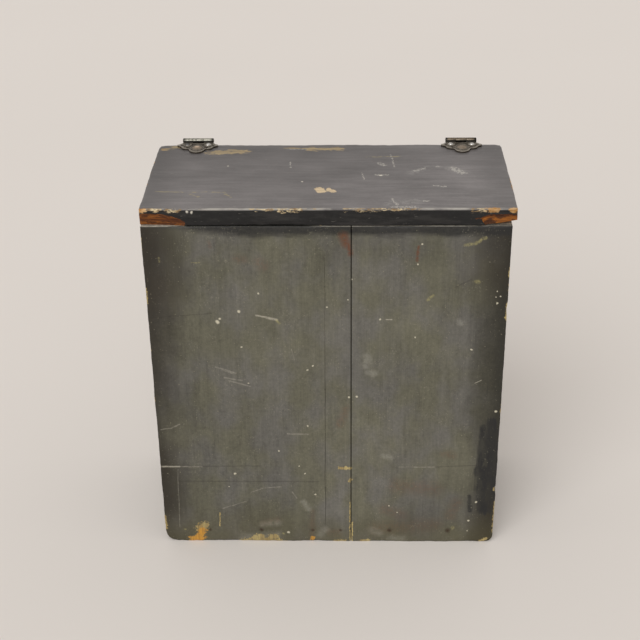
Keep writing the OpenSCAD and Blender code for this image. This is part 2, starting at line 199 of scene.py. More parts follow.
# %% A finish
class Finish(Nodes):
    """A material that is built from nodes on Object coordinates."""

    def __init__(self, name):
        self.material = bpy.data.materials.new(name)
        self.material.use_nodes = True
        super().__init__(self.material.node_tree)
        self.place = self.add("ShaderNodeTexCoord").outputs["Object"]
        self.x, self.y, self.z = self.add("ShaderNodeSeparateXYZ", self.place).outputs

    def noise(self, size, stretch=(1, 1, 1), detail=3.0, rough=0.5, seed=0.0, colour=False):
        """Soft noise whose blobs are about size millimetres wide, drawn out by stretch."""
        scale = [1 / (size * MM * s) for s in stretch]
        spot = self.add("ShaderNodeMapping", self.place, (seed, seed * 1.7, seed * 2.3), None, scale)
        node = self.add("ShaderNodeTexNoise", spot.outputs[0], None, 1.0, detail, rough)
        return node.outputs[1 if colour else 0]

    def shaken(self, size, reach, seed=0.0):
        """The place, moved about by noise of a size and reach in millimetres: outlines turn ragged."""
        shake = self.vector("SUBTRACT", self.noise(size, seed=seed, colour=True), (0.5, 0.5, 0.5))[0]
        return self.vector("ADD", self.place, self.scaled(shake, 2 * reach * MM))[0]

    def marks(self, place, strokes, soft=1.0):
        """1 on any of the strokes, each given as start, end and half width, and 0 away from them."""
        groups = [self.add("ShaderNodeGroup", place, *s, soft, node_tree=mark_tree) for s in strokes]
        return self.most(*[group.outputs[0] for group in groups])

    def swing(self, value, amount, around):
        """A noise, which lies about a half, scaled to swing by amount around a value."""
        shifted = self.minus(value, 0.5)
        return self.add("ShaderNodeMath", shifted, amount, around, operation="MULTIPLY_ADD").outputs[0]

    def swings(self, around, *patterns):
        """Several noises, each with its amount, that swing around a value together."""
        for pattern, amount in patterns:
            around = self.swing(pattern, amount, around)
        return around

    def broken(self, share, amount, size, stretch=(1, 1, 1), seed=0.0):
        """Breaks the soft rim of a share up with noise, as flaking paint does."""
        pushed = self.swing(self.noise(size, stretch, 5.0, 0.7, seed), 4 * amount, share)
        return self.times(self.rise(pushed, 0.36, 0.62), self.rise(share, 0.02, 0.2))

    def arris(self, low, high):
        """Distance from the nearest edge of a box, for a place on its surface."""
        gaps = []
        for value, near, far in zip((self.x, self.y, self.z), low, high):
            gaps.append(self.math("MINIMUM", self.minus(value, near), self.minus(far, value)))
        small = self.math("MINIMUM", gaps[0], gaps[1])
        large = self.math("MAXIMUM", gaps[0], gaps[1])
        return self.math("MAXIMUM", small, self.math("MINIMUM", large, gaps[2]))

    def done(self, colour, rough, height=None, depth=0.0, metal=0.0, specular=0.5):
        """Feeds the shader, with a bump of the given depth in metres."""
        inputs = self.tree.nodes["Principled BSDF"].inputs
        self.feed(inputs["Base Color"], colour)
        self.feed(inputs["Roughness"], rough)
        self.feed(inputs["Metallic"], metal)
        self.feed(inputs["Specular IOR Level"], specular)
        if height is not None:
            bump = self.add("ShaderNodeBump")
            self.feed(bump.inputs["Distance"], depth)
            self.feed(bump.inputs["Strength"], 1.0)
            self.feed(bump.inputs["Height"], height)
            self.feed(inputs["Normal"], bump.outputs[0])
        return self.material


# %% [markdown]
# ## Floor, sky and lamp
# The floor is a large pale sheet with a faint mottle. A curved backdrop would do as well, but a flat
# sheet under a sky of its own tone shows no horizon either, and the satin lid has something to reflect.
# One large soft lamp from the front and above lights the bin without hard shadows, so that colours render
# about as written.

# %% Floor, sky and lamp
FLOOR_COLOUR = (222, 217, 212)
FLOOR_HALF = 12.0
SKY_LIGHT = 0.85
LAMP_FROM = Vector((-0.35, -1.0, 0.95))
LAMP_SPREAD = 50
LAMP_STRENGTH = 1.6


def made(bm, name):
    """An object in the scene, with a mesh that is made of a bmesh."""
    mesh = bpy.data.meshes.new(name)
    bm.to_mesh(mesh)
    bm.free()
    obj = bpy.data.objects.new(name, mesh)
    bpy.context.scene.collection.objects.link(obj)
    return obj


floor_finish = Finish("pale_floor")
floor_colour = floor_finish.mix(floor_finish.noise(800, detail=2.0), (220, 215, 210), (224, 219, 214))
floor_bm = bmesh.new()
bmesh.ops.create_grid(floor_bm, x_segments=1, y_segments=1, size=FLOOR_HALF)
floor = made(floor_bm, "floor")
floor.data.materials.append(floor_finish.done(floor_colour, 0.9))

world = bpy.data.worlds.new("pale_sky")
bpy.context.scene.world = world
world.use_nodes = True
sky = Nodes(world.node_tree)
rays = sky.add("ShaderNodeLightPath").outputs
shows = sky.most(rays["Is Camera Ray"], rays["Is Glossy Ray"], rays["Is Transmission Ray"])
backdrop = world.node_tree.nodes["Background"]
sky.feed(backdrop.inputs["Color"], seen(FLOOR_COLOUR))
sky.feed(backdrop.inputs["Strength"], sky.plus(SKY_LIGHT, sky.times(shows, 1 - SKY_LIGHT)))

lamp = bpy.data.objects.new("soft_lamp", bpy.data.lights.new("soft_lamp", "SUN"))
lamp.data.angle = math.radians(LAMP_SPREAD)
lamp.data.energy = LAMP_STRENGTH
lamp.rotation_mode = "QUATERNION"
lamp.rotation_quaternion = (-LAMP_FROM).to_track_quat("-Z", "Y")
bpy.context.scene.collection.objects.link(lamp)
print("lamp from", tuple(LAMP_FROM), "with a spread of", LAMP_SPREAD, "degrees")


# %% [markdown]
# ## A worn board
# A sawn board has crisp arrises for a few years at most. A bevel modifier could round a plain box, but
# evenly all along. Here a cube is scaled to the size that the frame gives, its edges are bevelled, and
# its long edges are cut into short steps. The fine grid then lets noise rub the arrises away unevenly and
# give the faces a slight wave.

# %% Shape a board
RUB_SLOW = 28
RUB_QUICK = 160


def block(low, high, step, arris):
    """A box of small quads with rounded arrises."""
    size = high - low
    bm = bmesh.new()
    bmesh.ops.create_cube(bm, size=1.0)
    bmesh.ops.scale(bm, vec=size, verts=bm.verts)
    bmesh.ops.translate(bm, vec=(low + high) / 2, verts=bm.verts)
    bmesh.ops.bevel(
        bm, geom=bm.edges[:], offset=arris, segments=3, profile=0.5, affect="EDGES", material=-1)
    for axis in range(3):
        length = size[axis] - 2 * arris
        spans = [(e, abs(e.verts[0].co[axis] - e.verts[1].co[axis])) for e in bm.edges]
        long_edges = [e for e, span in spans if abs(span - length) < arris / 10]
        cuts = max(1, round(length / step) - 1)
        bmesh.ops.subdivide_edges(bm, edges=long_edges, cuts=cuts, use_grid_fill=True)
    return bm


def rub(bm, low, high, depth, reach, seed, seam_x=None):
    """Wears the arrises away by up to about depth, unevenly, but leaves those at a seam."""
    middle = (low + high) / 2
    offset = Vector((seed, seed * 1.3, seed * 1.9))
    for v in bm.verts:
        gaps = [min(v.co[i] - low[i], high[i] - v.co[i]) for i in range(3)]
        near = sorted(range(3), key=lambda i: gaps[i])
        share = 1 - gaps[near[1]] / reach
        if share > 0 and (seam_x is None or abs(v.co.x - seam_x) > 2 * reach):
            slow = noise.noise(v.co * RUB_SLOW + offset)
            quick = noise.noise(v.co * RUB_QUICK + offset)
            amount = depth * share * share * max(0.0, 0.3 + 0.7 * slow + 0.35 * quick)
            for i in near[:2]:
                v.co[i] += math.copysign(amount, middle[i] - v.co[i])


def wave(bm, axis, height, size, seed):
    """Moves both faces of a board alike, as a board that has dried unevenly."""
    for v in bm.verts:
        flat = v.co.copy()
        flat[axis] = seed
        v.co[axis] += height * noise.noise(flat / size)


def dent(bm, centre, radius, push):
    """Presses a hollow of the given radius and push into the surface."""
    for v in bm.verts:
        away = (v.co - centre).length / radius
        if away < 1:
            v.co += push * (1 - away * away) ** 2


# %% Make a piece of it
BARE, TORN = 1, 2


def dress(obj, *materials):
    """Gives an object its materials, in the order of its faces' numbers; the last fills what is left."""
    slots = obj.data.materials
    while len(slots) < len(materials):
        slots.append(None)
    for number in range(len(slots)):
        slots[number] = materials[min(number, len(materials) - 1)]


def body_of(bm, name):
    """An object with empty slots for paint, bare wood and torn wood, whose numbers carving keeps."""
    obj = made(bm, name)
    dress(obj, None, None, None)
    return obj


def piece(bm, name, body, slot, *nodes):
    """Makes a piece of a bmesh: it rides on a body and stands for CAD nodes."""
    obj = body_of(bm, name)
    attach(obj, body)
    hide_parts(*nodes)
    return obj


def smooth(obj, angle=35):
    """Smooth shading with sharp edges kept."""
    obj.data.polygons.foreach_set("use_smooth", [True] * len(obj.data.polygons))
    obj.data.set_sharp_from_angle(angle=math.radians(angle))


def carve(obj, cutter):
    """Takes the cutter away from a piece and keeps the result as its mesh."""
    cut = obj.modifiers.new("carve", "BOOLEAN")
    cut.operation = "DIFFERENCE"
    cut.solver = "EXACT"
    cut.material_mode = "INDEX"
    cut.object = cutter
    bpy.context.view_layer.update()
    carved = bpy.data.meshes.new_from_object(obj.evaluated_get(bpy.context.evaluated_depsgraph_get()))
    obj.modifiers.clear()
    scraps = (obj.data, cutter.data)
    obj.data = carved
    bpy.data.objects.remove(cutter)
    for scrap in scraps:
        bpy.data.meshes.remove(scrap)
    carved.name = obj.name


# %% [markdown]
# ## Nail holes
# Each nail was driven with its head just under the face, which leaves a shallow dish with the head at its
# bottom. Dark dots in the paint could stand for the dishes, but cut ones catch the light from every side.
# A flat cone at each nail cuts them, slightly deeper than the head. On the front, the nails along the
# sides were filled and painted over, so only faint dimples show there.

# %% Places of the nails
NAIL_DISH_DEPTH = 0.34 * MM
NAIL_DISH_FOOT = 3.3 * MM
NAIL_DISH_MOUTH = 4.0 * MM
SAME_PLACE = 1e-6


def merged(node):
    """A bmesh of a CAD node, in which corners at the same place are made one."""
    bm = bmesh.new()
    bm.from_mesh(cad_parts[node].data)
    bmesh.ops.remove_doubles(bm, verts=bm.verts, dist=SAME_PLACE)
    return bm


def nail_places(node):
    """The middle of each nail of a node, found as the islands of its mesh."""
    bm = merged(node)
    left = set(bm.verts)
    places = []
    while left:
        island, edge = [], [left.pop()]
        while edge:
            v = edge.pop()
            island.append(v.co)
            for e in v.link_edges:
                other = e.other_vert(v)
                if other in left:
                    left.remove(other)
                    edge.append(other)
        low = Vector([min(c[i] for c in island) for i in range(3)])
        high = Vector([max(c[i] for c in island) for i in range(3)])
        places.append((low + high) / 2)
    bm.free()
    return places


def dishes(node, face, axis, way):
    """Flat cones over the nails of a node, on the face at the given place along an axis."""
    bm = bmesh.new()
    outward = Vector([way if i == axis else 0 for i in range(3)])
    turn = Vector((0, 0, 1)).rotation_difference(outward).to_matrix().to_4x4()
    depth = 2 * NAIL_DISH_DEPTH
    slope = (NAIL_DISH_MOUTH - NAIL_DISH_FOOT) / NAIL_DISH_DEPTH
    for centre in nail_places(node):
        centre[axis] = face
        bmesh.ops.create_cone(
            bm, cap_ends=True, segments=24, depth=depth,
            radius1=NAIL_DISH_FOOT, radius2=NAIL_DISH_FOOT + slope * depth,
            matrix=Matrix.Translation(centre) @ turn)
    return body_of(bm, "dishes")


print("bottom nails of the front:", len(nail_places("front_bottom_nails")))


# %% [markdown]
# ## The front boards
# Two boards with upright grain make the front, and an open seam parts them. The outer lower corners are
# worn round. A bevel could round them, but a square grid also turns into a round corner when each of its
# square rings is pulled onto a circle, and its faces stay small. A fine split runs up the left board:
# three cuts lie close together, and the middle one is pushed in, so that the split has a shadow of its
# own.

# %% Corners and a split
BOARD_STEP = 2.5 * MM
BOARD_ARRIS = 0.5 * MM
BOARD_WAVE, BOARD_WAVE_SIZE = 0.15 * MM, 70 * MM
FRONT_RUB, FRONT_RUB_REACH = 1.1 * MM, 5 * MM
LEFT_CORNER = 16 * MM
RIGHT_CORNER = 11 * MM
DIMPLE_RADIUS, DIMPLE_PUSH = 6 * MM, Vector((0, 0.22 * MM, 0))
SPLIT_HALF_WIDTH = 0.45 * MM
SPLIT_DEPTH = 1.2 * MM
SPLIT_WANDER = 0.8 * MM
SPLIT_FADE = 30 * MM
SPLIT_CLOSES, SPLIT_CLOSING = 220 * MM, 80 * MM


def on_front(x, z):
    """A place on the front, in millimetres from the middle of its foot."""
    return Vector((mid_x + x * MM, front_y, z * MM))


def round_corner(bm, centre, side):
    """Pulls the square rings of a lower corner onto circles round the centre."""
    for v in bm.verts:
        across = (v.co.x - centre.x) * side
        down = centre.z - v.co.z
        if across > 0 and down > 0:
            pull = max(across, down) / math.hypot(across, down)
            v.co.x = centre.x + side * across * pull
            v.co.z = centre.z - down * pull


def cut_in(bm, place, normal):
    """Cuts new edges into a mesh along a plane."""
    everything = bm.verts[:] + bm.edges[:] + bm.faces[:]
    bmesh.ops.bisect_plane(bm, geom=everything, plane_co=place, plane_no=normal)


def split(bm, foot, top):
    """Opens a fine split along a board's grain, between two places on its face."""
    lean = (top.x - foot.x) / (top.z - foot.z)
    normal = Vector((1, 0, -lean)).normalized()
    for shift in (-SPLIT_HALF_WIDTH, 0, SPLIT_HALF_WIDTH):
        cut_in(bm, foot + Vector((shift, 0, 0)), normal)
    for v in bm.verts:
        aside = abs(v.co.x - (foot.x + lean * (v.co.z - foot.z)))
        on_face = foot.z < v.co.z < top.z and v.co.y < foot.y + BOARD_ARRIS
        if on_face and aside < 1.2 * SPLIT_HALF_WIDTH:
            ends = min(1.0, (v.co.z - foot.z) / SPLIT_FADE, (top.z - v.co.z) / SPLIT_FADE)
            closing = min(1.0, max(0.0, (v.co.z - SPLIT_CLOSES) / SPLIT_CLOSING))
            uneven = 0.65 + 0.35 * noise.noise(Vector((0, 0, v.co.z * 60)))
            if aside < 0.3 * SPLIT_HALF_WIDTH:
                v.co.y += SPLIT_DEPTH * ends * (1 - 0.5 * closing) * uneven
            v.co.x += SPLIT_WANDER * noise.noise(Vector((7, 0, v.co.z * 25)))


# %% Make the front boards
left_bm = block(*front_left_box, BOARD_STEP, BOARD_ARRIS)
split(left_bm, on_front(-4, 14), on_front(-1.7, 412))
round_corner(left_bm, Vector((bin_low.x + LEFT_CORNER, 0, LEFT_CORNER)), -1)
rub(left_bm, *front_left_box, FRONT_RUB, FRONT_RUB_REACH, 3.0, front_left_box[1].x)

right_bm = block(*front_right_box, BOARD_STEP, BOARD_ARRIS)
round_corner(right_bm, Vector((bin_high.x - RIGHT_CORNER, 0, RIGHT_CORNER)), 1)
rub(right_bm, *front_right_box, FRONT_RUB, FRONT_RUB_REACH, 8.0, front_right_box[0].x)
dent(right_bm, on_front(203, 80), 6 * MM, Vector((-1.6, 0.8, 0)) * MM)
dent(right_bm, on_front(203, 328), 12 * MM, Vector((-0.9, 0.5, 0)) * MM)

front_pieces = []
for bm, side in ((left_bm, "left"), (right_bm, "right")):
    for centre in nail_places("front_side_nails_" + side):
        dent(bm, Vector((centre.x, front_y, centre.z)), DIMPLE_RADIUS, DIMPLE_PUSH)
    wave(bm, 1, BOARD_WAVE, BOARD_WAVE_SIZE, 2.0)
    obj = piece(bm, "worn_front_" + side, "bin", "old_paint", "front_board_" + side)
    carve(obj, dishes("front_bottom_nails", front_y, 1, -1))
    front_pieces.append(obj)
    print(obj.name, "has", len(obj.data.polygons), "faces")


# %% [markdown]
# ## Sides, back and bottom
# The other walls are plain boards that the front boards are nailed to. Their solids could stay as they
# are, but crisp arrises would look new beside the worn front. So they are made in the same way, on a
# coarser grid, because they show no split and stay in the shade. The nails of the back and of the sides
# were left bare.

# %% Make the other walls
WALL_STEP = 5 * MM
WALL_RUB, WALL_RUB_REACH = 1.0 * MM, 4 * MM
WALL_NAILS = {
    "side_board_left": ("side_bottom_nails_left", 0, -1),
    "side_board_right": ("side_bottom_nails_right", 0, 1),
    "back_board_left": ("back_side_nails_left", 1, 1),
    "back_board_right": ("back_side_nails_right", 1, 1),
}

wall_pieces = []
for number, (node, (rows, axis, way)) in enumerate(WALL_NAILS.items()):
    low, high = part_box(node)
    bm = block(low, high, WALL_STEP, BOARD_ARRIS)
    rub(bm, low, high, WALL_RUB, WALL_RUB_REACH, 20.0 + number)
    wave(bm, axis, BOARD_WAVE, BOARD_WAVE_SIZE, 5.0 + number)
    obj = piece(bm, "worn_" + node, "bin", "old_paint", node)
    face = (high if way > 0 else low)[axis]
    carve(obj, dishes(rows, face, axis, way))
    if axis == 1:
        carve(obj, dishes("back_bottom_nails", face, axis, way))
    wall_pieces.append(obj)
    print(obj.name, "has", len(obj.data.polygons), "faces")

bottom_bm = block(*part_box("bottom_board"), WALL_STEP, BOARD_ARRIS)
wave(bottom_bm, 2, 0.2 * MM, 80 * MM, 9.0)
bottom_piece = piece(bottom_bm, "worn_bottom", "bin", "bare_wood", "bottom_board")


# %% [markdown]
# ## The lid
# The lid is one board with its grain from left to right. Its rear top edge is planed down a little, and
# its rear corners are worn. A chamfer could be carved off. It is enough to cut an edge in where it starts
# and to lower what lies behind.

# %% Make the lid
LID_ARRIS = 0.7 * MM
LID_WAVE, LID_WAVE_SIZE = 0.12 * MM, 60 * MM
LID_BEVEL_WIDTH, LID_BEVEL_DROP = 15 * MM, 0.6 * MM
LID_BEVEL_FACE = 3 * MM
REAR_CORNER = 8 * MM
bevel_start = lid_high.y - LID_BEVEL_WIDTH

lid_bm = block(lid_low, lid_high, BOARD_STEP, LID_ARRIS)
rub(lid_bm, lid_low, lid_high, WALL_RUB, WALL_RUB_REACH, 31.0)
for corner_x, push in ((lid_low.x, 1.4), (lid_high.x, -0.9)):
    dent(lid_bm, Vector((corner_x, lid_high.y, lid_high.z)), REAR_CORNER, Vector((push, -1.2, -0.5)) * MM)
cut_in(lid_bm, Vector((0, bevel_start, 0)), Vector((0, 1, 0)))
for v in lid_bm.verts:
    if v.co.y > bevel_start and v.co.z > lid_high.z - LID_BEVEL_FACE:
        v.co.z -= LID_BEVEL_DROP * (v.co.y - bevel_start) / LID_BEVEL_WIDTH
wave(lid_bm, 2, LID_WAVE, LID_WAVE_SIZE, 4.0)
lid_piece = piece(lid_bm, "worn_lid", "lid", "lid_paint", "lid_board")
print("lid has", len(lid_piece.data.polygons), "faces")


# %% [markdown]
# ## Breaks in the lid
# Three breaks mark the lid's front edge: a flake at the left end, and at the right end a scoop and a
# corner that split off below. They could be sculpted by hand. Here each is carved with a small block,
# whose working face is shaped like the break and roughened along the grain, as torn wood is. The mesh
# stays closed, and each break's length, height and depth are named values.

# %% Shapes of the breaks
FLAKE_LENGTH, FLAKE_HEIGHT, FLAKE_DEPTH = 51 * MM, 15 * MM, 4 * MM
SCOOP_LENGTH, SCOOP_TOP, SCOOP_DEPTH = 46 * MM, 13.5 * MM, 1.6 * MM
SCOOP_HIGH, SCOOP_LOW = 8.5 * MM, 6 * MM
SCOOP_TONGUE, SCOOP_RIM = 0.8 * MM, 2.5 * MM
SCOOP_WIDENS, SCOOP_WIDENING = 0.14, 0.16
BREAK_LENGTH, BREAK_HEIGHT, BREAK_DEPTH = 43 * MM, 6.5 * MM, 26 * MM
TORN_RIDGE, TORN_FIBRE = 0.35 * MM, 0.15 * MM
CUTTER_STEP = 0.8 * MM
CUTTER_ARRIS = 0.2 * MM
CUTTER_ROOM = 4 * MM
before_lid = lid_low.y - 3 * CUTTER_ROOM


def torn(x, y, z, seed):
    """Height of torn fibres that run from left to right."""
    ridge = noise.noise(Vector((x * 45, y * 420, z * 420 + seed)))
    fibre = noise.noise(Vector((x * 150, y * 1300, z * 1300 + seed)))
    return TORN_RIDGE * ridge + TORN_FIBRE * fibre


def flake_depth(x, z):
    """How far the flake reaches into the front face: deepest at the lid's lower left corner."""
    across = max(0.0, (x - lid_low.x) / FLAKE_LENGTH)
    up = max(0.0, (z - lid_low.z) / FLAKE_HEIGHT)
    return FLAKE_DEPTH * (1 - across ** 2.6 - up ** 2)


def scoop_depth(x, z):
    """How far the scoop reaches into the front face: a thin tongue that widens to a torn patch."""
    along = (x - lid_high.x) / SCOOP_LENGTH + 1
    ragged = 1.5 * MM * noise.noise(Vector((x * 130, 3, 0)))
    ragged += 0.8 * MM * noise.noise(Vector((x * 420, 5, 0)))
    up = z - lid_low.z + ragged
    widen = min(1.0, max(0.0, (along - SCOOP_WIDENS) / SCOOP_WIDENING))
    middle = SCOOP_HIGH - (SCOOP_HIGH - SCOOP_LOW) * widen
    half = SCOOP_TONGUE + (SCOOP_TOP - SCOOP_LOW - SCOOP_TONGUE) * widen
    return SCOOP_DEPTH * min(1.0, (half - abs(up - middle)) / SCOOP_RIM, along / 0.1)


# %% Carve the breaks
def tear(bm):
    """Carves the lid with a cutter that leaves torn wood."""
    for f in bm.faces:
        f.material_index = TORN
    carve(lid_piece, body_of(bm, "cutter"))


for from_x, to_x, top, depth_at, seed in (
    (lid_low.x, lid_low.x + FLAKE_LENGTH, FLAKE_HEIGHT, flake_depth, 1.0),
    (lid_high.x - SCOOP_LENGTH, lid_high.x, SCOOP_TOP, scoop_depth, 5.0),
):
    low = Vector((from_x - CUTTER_ROOM, before_lid, lid_low.z - CUTTER_ROOM))
    high = Vector((to_x + CUTTER_ROOM, lid_low.y + 2 * CUTTER_ROOM, lid_low.z + top + CUTTER_ROOM))
    bm = block(low, high, CUTTER_STEP, CUTTER_ARRIS)
    for v in bm.verts:
        if v.co.y > (low.y + high.y) / 2:
            deep = depth_at(v.co.x, v.co.z) + torn(v.co.x, 0, v.co.z, seed)
            v.co.y = max(lid_low.y - 2 * MM, lid_low.y + deep)
        v.co.y = min(v.co.y, high.y)
    tear(bm)

low = Vector((lid_high.x - BREAK_LENGTH - CUTTER_ROOM, before_lid, lid_low.z - 3 * CUTTER_ROOM))
high = Vector((
    lid_high.x + CUTTER_ROOM, lid_low.y + BREAK_DEPTH + CUTTER_ROOM, lid_low.z + 3 * CUTTER_ROOM))
bm = block(low, high, CUTTER_STEP, CUTTER_ARRIS)
for v in bm.verts:
    if v.co.z > lid_low.z:
        along_x = (v.co.x - lid_high.x) / BREAK_LENGTH + 1
        along_y = (v.co.y - lid_low.y) / BREAK_DEPTH
        ragged = 1.5 * torn(v.co.x, v.co.y, 0, 9.0)
        v.co.z = max(lid_low.z - 1 * MM, lid_low.z + BREAK_HEIGHT * (along_x - along_y) + ragged)
tear(bm)
print("lid has", len(lid_piece.data.polygons), "faces after the breaks")


# %% [markdown]
# ## Hinges
# Each hinge has two small cast leaves, a barrel of three knuckles and a pin. New leaves could be drawn,
# but the solids already have the right outline and holes. So a merged copy of each is softened with a
# fine bevel, which is what a casting's edges look like. Scrolls and arcs, raised on the leaves, are swept
# from circles.

# %% Raised lines and soft edges
LEAF_FACE = 1.6 * MM
LEAF_SOFT, SCREW_SOFT, PIN_SOFT = 0.15 * MM, 0.1 * MM, 0.12 * MM
FLAT_ANGLE, SHARP_ANGLE = 0.5, 40
BOSS_Y = 15.5
RIDGE = 0.38 * MM
RIDGE_SIDES = 8
RIDGE_STEPS = 20
SCROLLS = [
    (11.5, 14.5, 2.9, -200, 290), (-11.5, 14.5, 2.9, 20, -290),
    (0, BOSS_Y, 9.9, 52, 76), (0, BOSS_Y, 9.9, -128, 76),
]


def ridge(bm, leaf_frame, x, y, radius, start, sweep):
    """A raised line along a circle on a leaf: a small ring of edges spun round the middle."""
    turn = Matrix.Rotation(math.radians(start), 4, "Z")
    stand = Matrix.Translation((radius * MM, 0, 0)) @ Matrix.Rotation(math.radians(90), 4, "X")
    line = bmesh.new()
    bmesh.ops.create_circle(line, segments=RIDGE_SIDES, radius=RIDGE, matrix=turn @ stand)
    bmesh.ops.spin(
        line, geom=line.verts[:] + line.edges[:], cent=(0, 0, 0), axis=(0, 0, 1),
        angle=math.radians(sweep), steps=RIDGE_STEPS)
    bmesh.ops.holes_fill(line, edges=line.edges[:], sides=RIDGE_SIDES)
    bmesh.ops.recalc_face_normals(line, faces=line.faces[:])
    line.transform(leaf_frame @ Matrix.Translation((x * MM, y * MM, LEAF_FACE)))
    scrap = bpy.data.meshes.new("ridge")
    line.to_mesh(scrap)
    line.free()
    bm.from_mesh(scrap)
    bpy.data.meshes.remove(scrap)


def softened(node, name, body, slot, radius, leaf_frame=None):
    """A copy of a CAD node with its sharp edges rounded, and with scrolls if it is a leaf."""
    bm = merged(node)
    bmesh.ops.dissolve_limit(bm, angle_limit=math.radians(FLAT_ANGLE), verts=bm.verts, edges=bm.edges)
    sharp = [e for e in bm.edges if e.is_manifold and e.calc_face_angle() > math.radians(SHARP_ANGLE)]
    bmesh.ops.bevel(
        bm, geom=sharp, offset=radius, segments=2, profile=0.5, affect="EDGES", material=-1,
        clamp_overlap=True)
    for scroll in SCROLLS if leaf_frame else ():
        ridge(bm, leaf_frame, *scroll)
    return piece(bm, name, body, slot, node)


# %% Make the hinges
iron_pieces, screw_pieces, pin_pieces = [], [], []
boss_places = []
hinge_middles = []
for side in ("left", "right"):
    leaf_low, leaf_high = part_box(f"hinge_{side}_lid_leaf")
    leaf_x = (leaf_low.x + leaf_high.x) / 2
    on_lid_top = Matrix.Translation((leaf_x, back_y, lid_high.z)) @ Matrix.Rotation(math.pi, 4, "Z")
    on_back = Matrix.Translation((leaf_x, back_y, wall_top)) @ Matrix.Rotation(-math.pi / 2, 4, "X")
    hinge_middles.append(leaf_x)
    boss_places += [m @ Vector((0, BOSS_Y * MM, LEAF_FACE)) for m in (on_lid_top, on_back)]
    for part, body, place in (("lid", "lid", on_lid_top), ("back", "bin", on_back)):
        leaf, screws = f"hinge_{side}_{part}_leaf", f"hinge_{side}_{part}_screws"
        iron_pieces.append(softened(leaf, "iron_" + leaf, body, "hinge_iron", LEAF_SOFT, place))
        screw_pieces.append(softened(screws, "iron_" + screws, body, "screw_steel", SCREW_SOFT))
    pin_pieces.append(softened(f"hinge_{side}_pin", f"iron_{side}_pin", "bin", "pin_steel", PIN_SOFT))
print("iron pieces:", len(iron_pieces) + len(screw_pieces) + len(pin_pieces))


# %% [markdown]
# ## Old wood
# Where no paint was put on, or where it has gone, softwood shows. A wave texture could draw its rings,
# but it draws them too neatly for a sawn board. So the grain is noise that is drawn out along the board:
# broad soft bands for the summer and winter growth, and fine dark fibres on top. Wood in the breaks is
# browner and darker.

# %% Bare wood
BAND_WIDTH, BAND_LENGTH = 7, 190
FIBRE_WIDTH, FIBRE_LENGTH = 0.9, 40


def wood_grain(f, along, seed):
    """Bands and fibres of a board whose grain runs along the given axis."""
    def drawn(width, length):
        return tuple(length / width if i == along else 1 for i in range(3))
    bands = f.noise(BAND_WIDTH, drawn(BAND_WIDTH, BAND_LENGTH), 2.0, 0.5, seed)
    fibres = f.noise(FIBRE_WIDTH, drawn(FIBRE_WIDTH, FIBRE_LENGTH), 3.0, 0.6, seed + 3)
    return bands, fibres


def bare_wood(name, along, pale, dark, dusty, seed):
    """Old softwood, with grey dust on the upper rim of the walls if it is dusty."""
    f = Finish(name)
    bands, fibres = wood_grain(f, along, seed)
    dirt = f.noise(60, detail=4.0, seed=seed + 7)
    dust = f.rise(f.z, wall_top - 0.9 * MM, wall_top - 0.3 * MM)
    colour = f.lay(
        f.mix(f.rise(bands, 0.35, 0.7), pale, dark),
        (f.rise(fibres, 0.55, 0.75), 0.45, (70, 46, 28)),
        (f.rise(dirt, 0.45, 0.75), 0.4, (78, 66, 52)),
        (dust, dusty, (184, 176, 160)))
    return f.done(colour, 0.8, fibres, 0.25 * MM)


inside_upright = bare_wood("bare_wood_upright", 2, (160, 134, 102), (136, 106, 74), 0.65, 1.0)
inside_level = bare_wood("bare_wood_level", 0, (156, 128, 96), (130, 100, 68), 0.0, 5.0)


# %% Torn wood
f = Finish("torn_wood")
bands, fibres = wood_grain(f, 0, 12.0)
streaks = f.noise(3.2, (3.5, 1, 1), 4.0, 0.65, 16.0)
to_right = f.rise(f.x, -0.05, 0.05)
torn_pale = f.mix(to_right, (134, 80, 30), (148, 88, 26))
torn_dark = f.mix(to_right, (84, 44, 16), (94, 50, 16))
torn_streak = f.mix(to_right, (66, 34, 18), (50, 26, 14))
colour = f.lay(
    f.mix(f.rise(bands, 0.38, 0.62), torn_pale, torn_dark),
    (f.rise(streaks, 0.48, 0.58), 0.85, torn_streak),
    (f.rise(fibres, 0.5, 0.66), 0.5, (58, 30, 16)))
torn_wood = f.done(colour, 0.7, fibres, 0.4 * MM, specular=0.3)
print("finishes of bare wood:", inside_upright.name, inside_level.name, torn_wood.name)


# %% [markdown]
# ## Marks on the front
# The front has many small marks, and they make it old. An image could hold them all, but as strokes each
# one can be moved on its own. A stroke or a dot has its place on the board, in millimetres from the
# middle of the foot, and its last number is half its width. The paint below gives each list its own
# colour, on coordinates that noise makes ragged.

# %% Marks on the front
def strokes(at, rows):
    """Strokes from rows of two places and half a width, or dots from rows of one place and a radius."""
    return [(at(*row[:2]), at(*row[-3:-1]), row[-1] * MM) for row in rows]


ORANGE_CHIPS = strokes(on_front, [(-170, 0, -160, 6, 12), (-161, 6, -157, 16, 10), (-21, 4, -20, 5, 5.5)])
TAN_CHIPS = strokes(on_front, [
    (-160, 20, -154, 24, 11), (-106, -1, -64, 0, 9), (-92, 6, -84, 7, 8), (-72, 6, -66, 7, 8),
    (14, 111, 27, 111.5, 4), (26, 92, 27, 95, 4), (26.3, 60, 26.3, 1, 1.4), (29, 30, 29, 1, 1.3),
    (8, 0, 20, 0, 5), (40, 0, 50, 0, 5), (-203, 38, -202, 20, 4), (-203, 338, -203, 354, 3.4),
    (203, 336, 203, 316, 4), (203, 80, 203, 81, 5.5), (187, 1, 195, 5, 3.4), (-134, 43, -135, 23, 1.3),
    (203, 62, 203, 14, 2.6),
])
RED_CHIPS = strokes(on_front, [
    (19, 420, 22, 411, 9), (24, 412, 27, 398, 4.5), (101.4, 408, 100.4, 398, 2.4),
    (100.4, 400, 99.8, 390, 2.8),
])
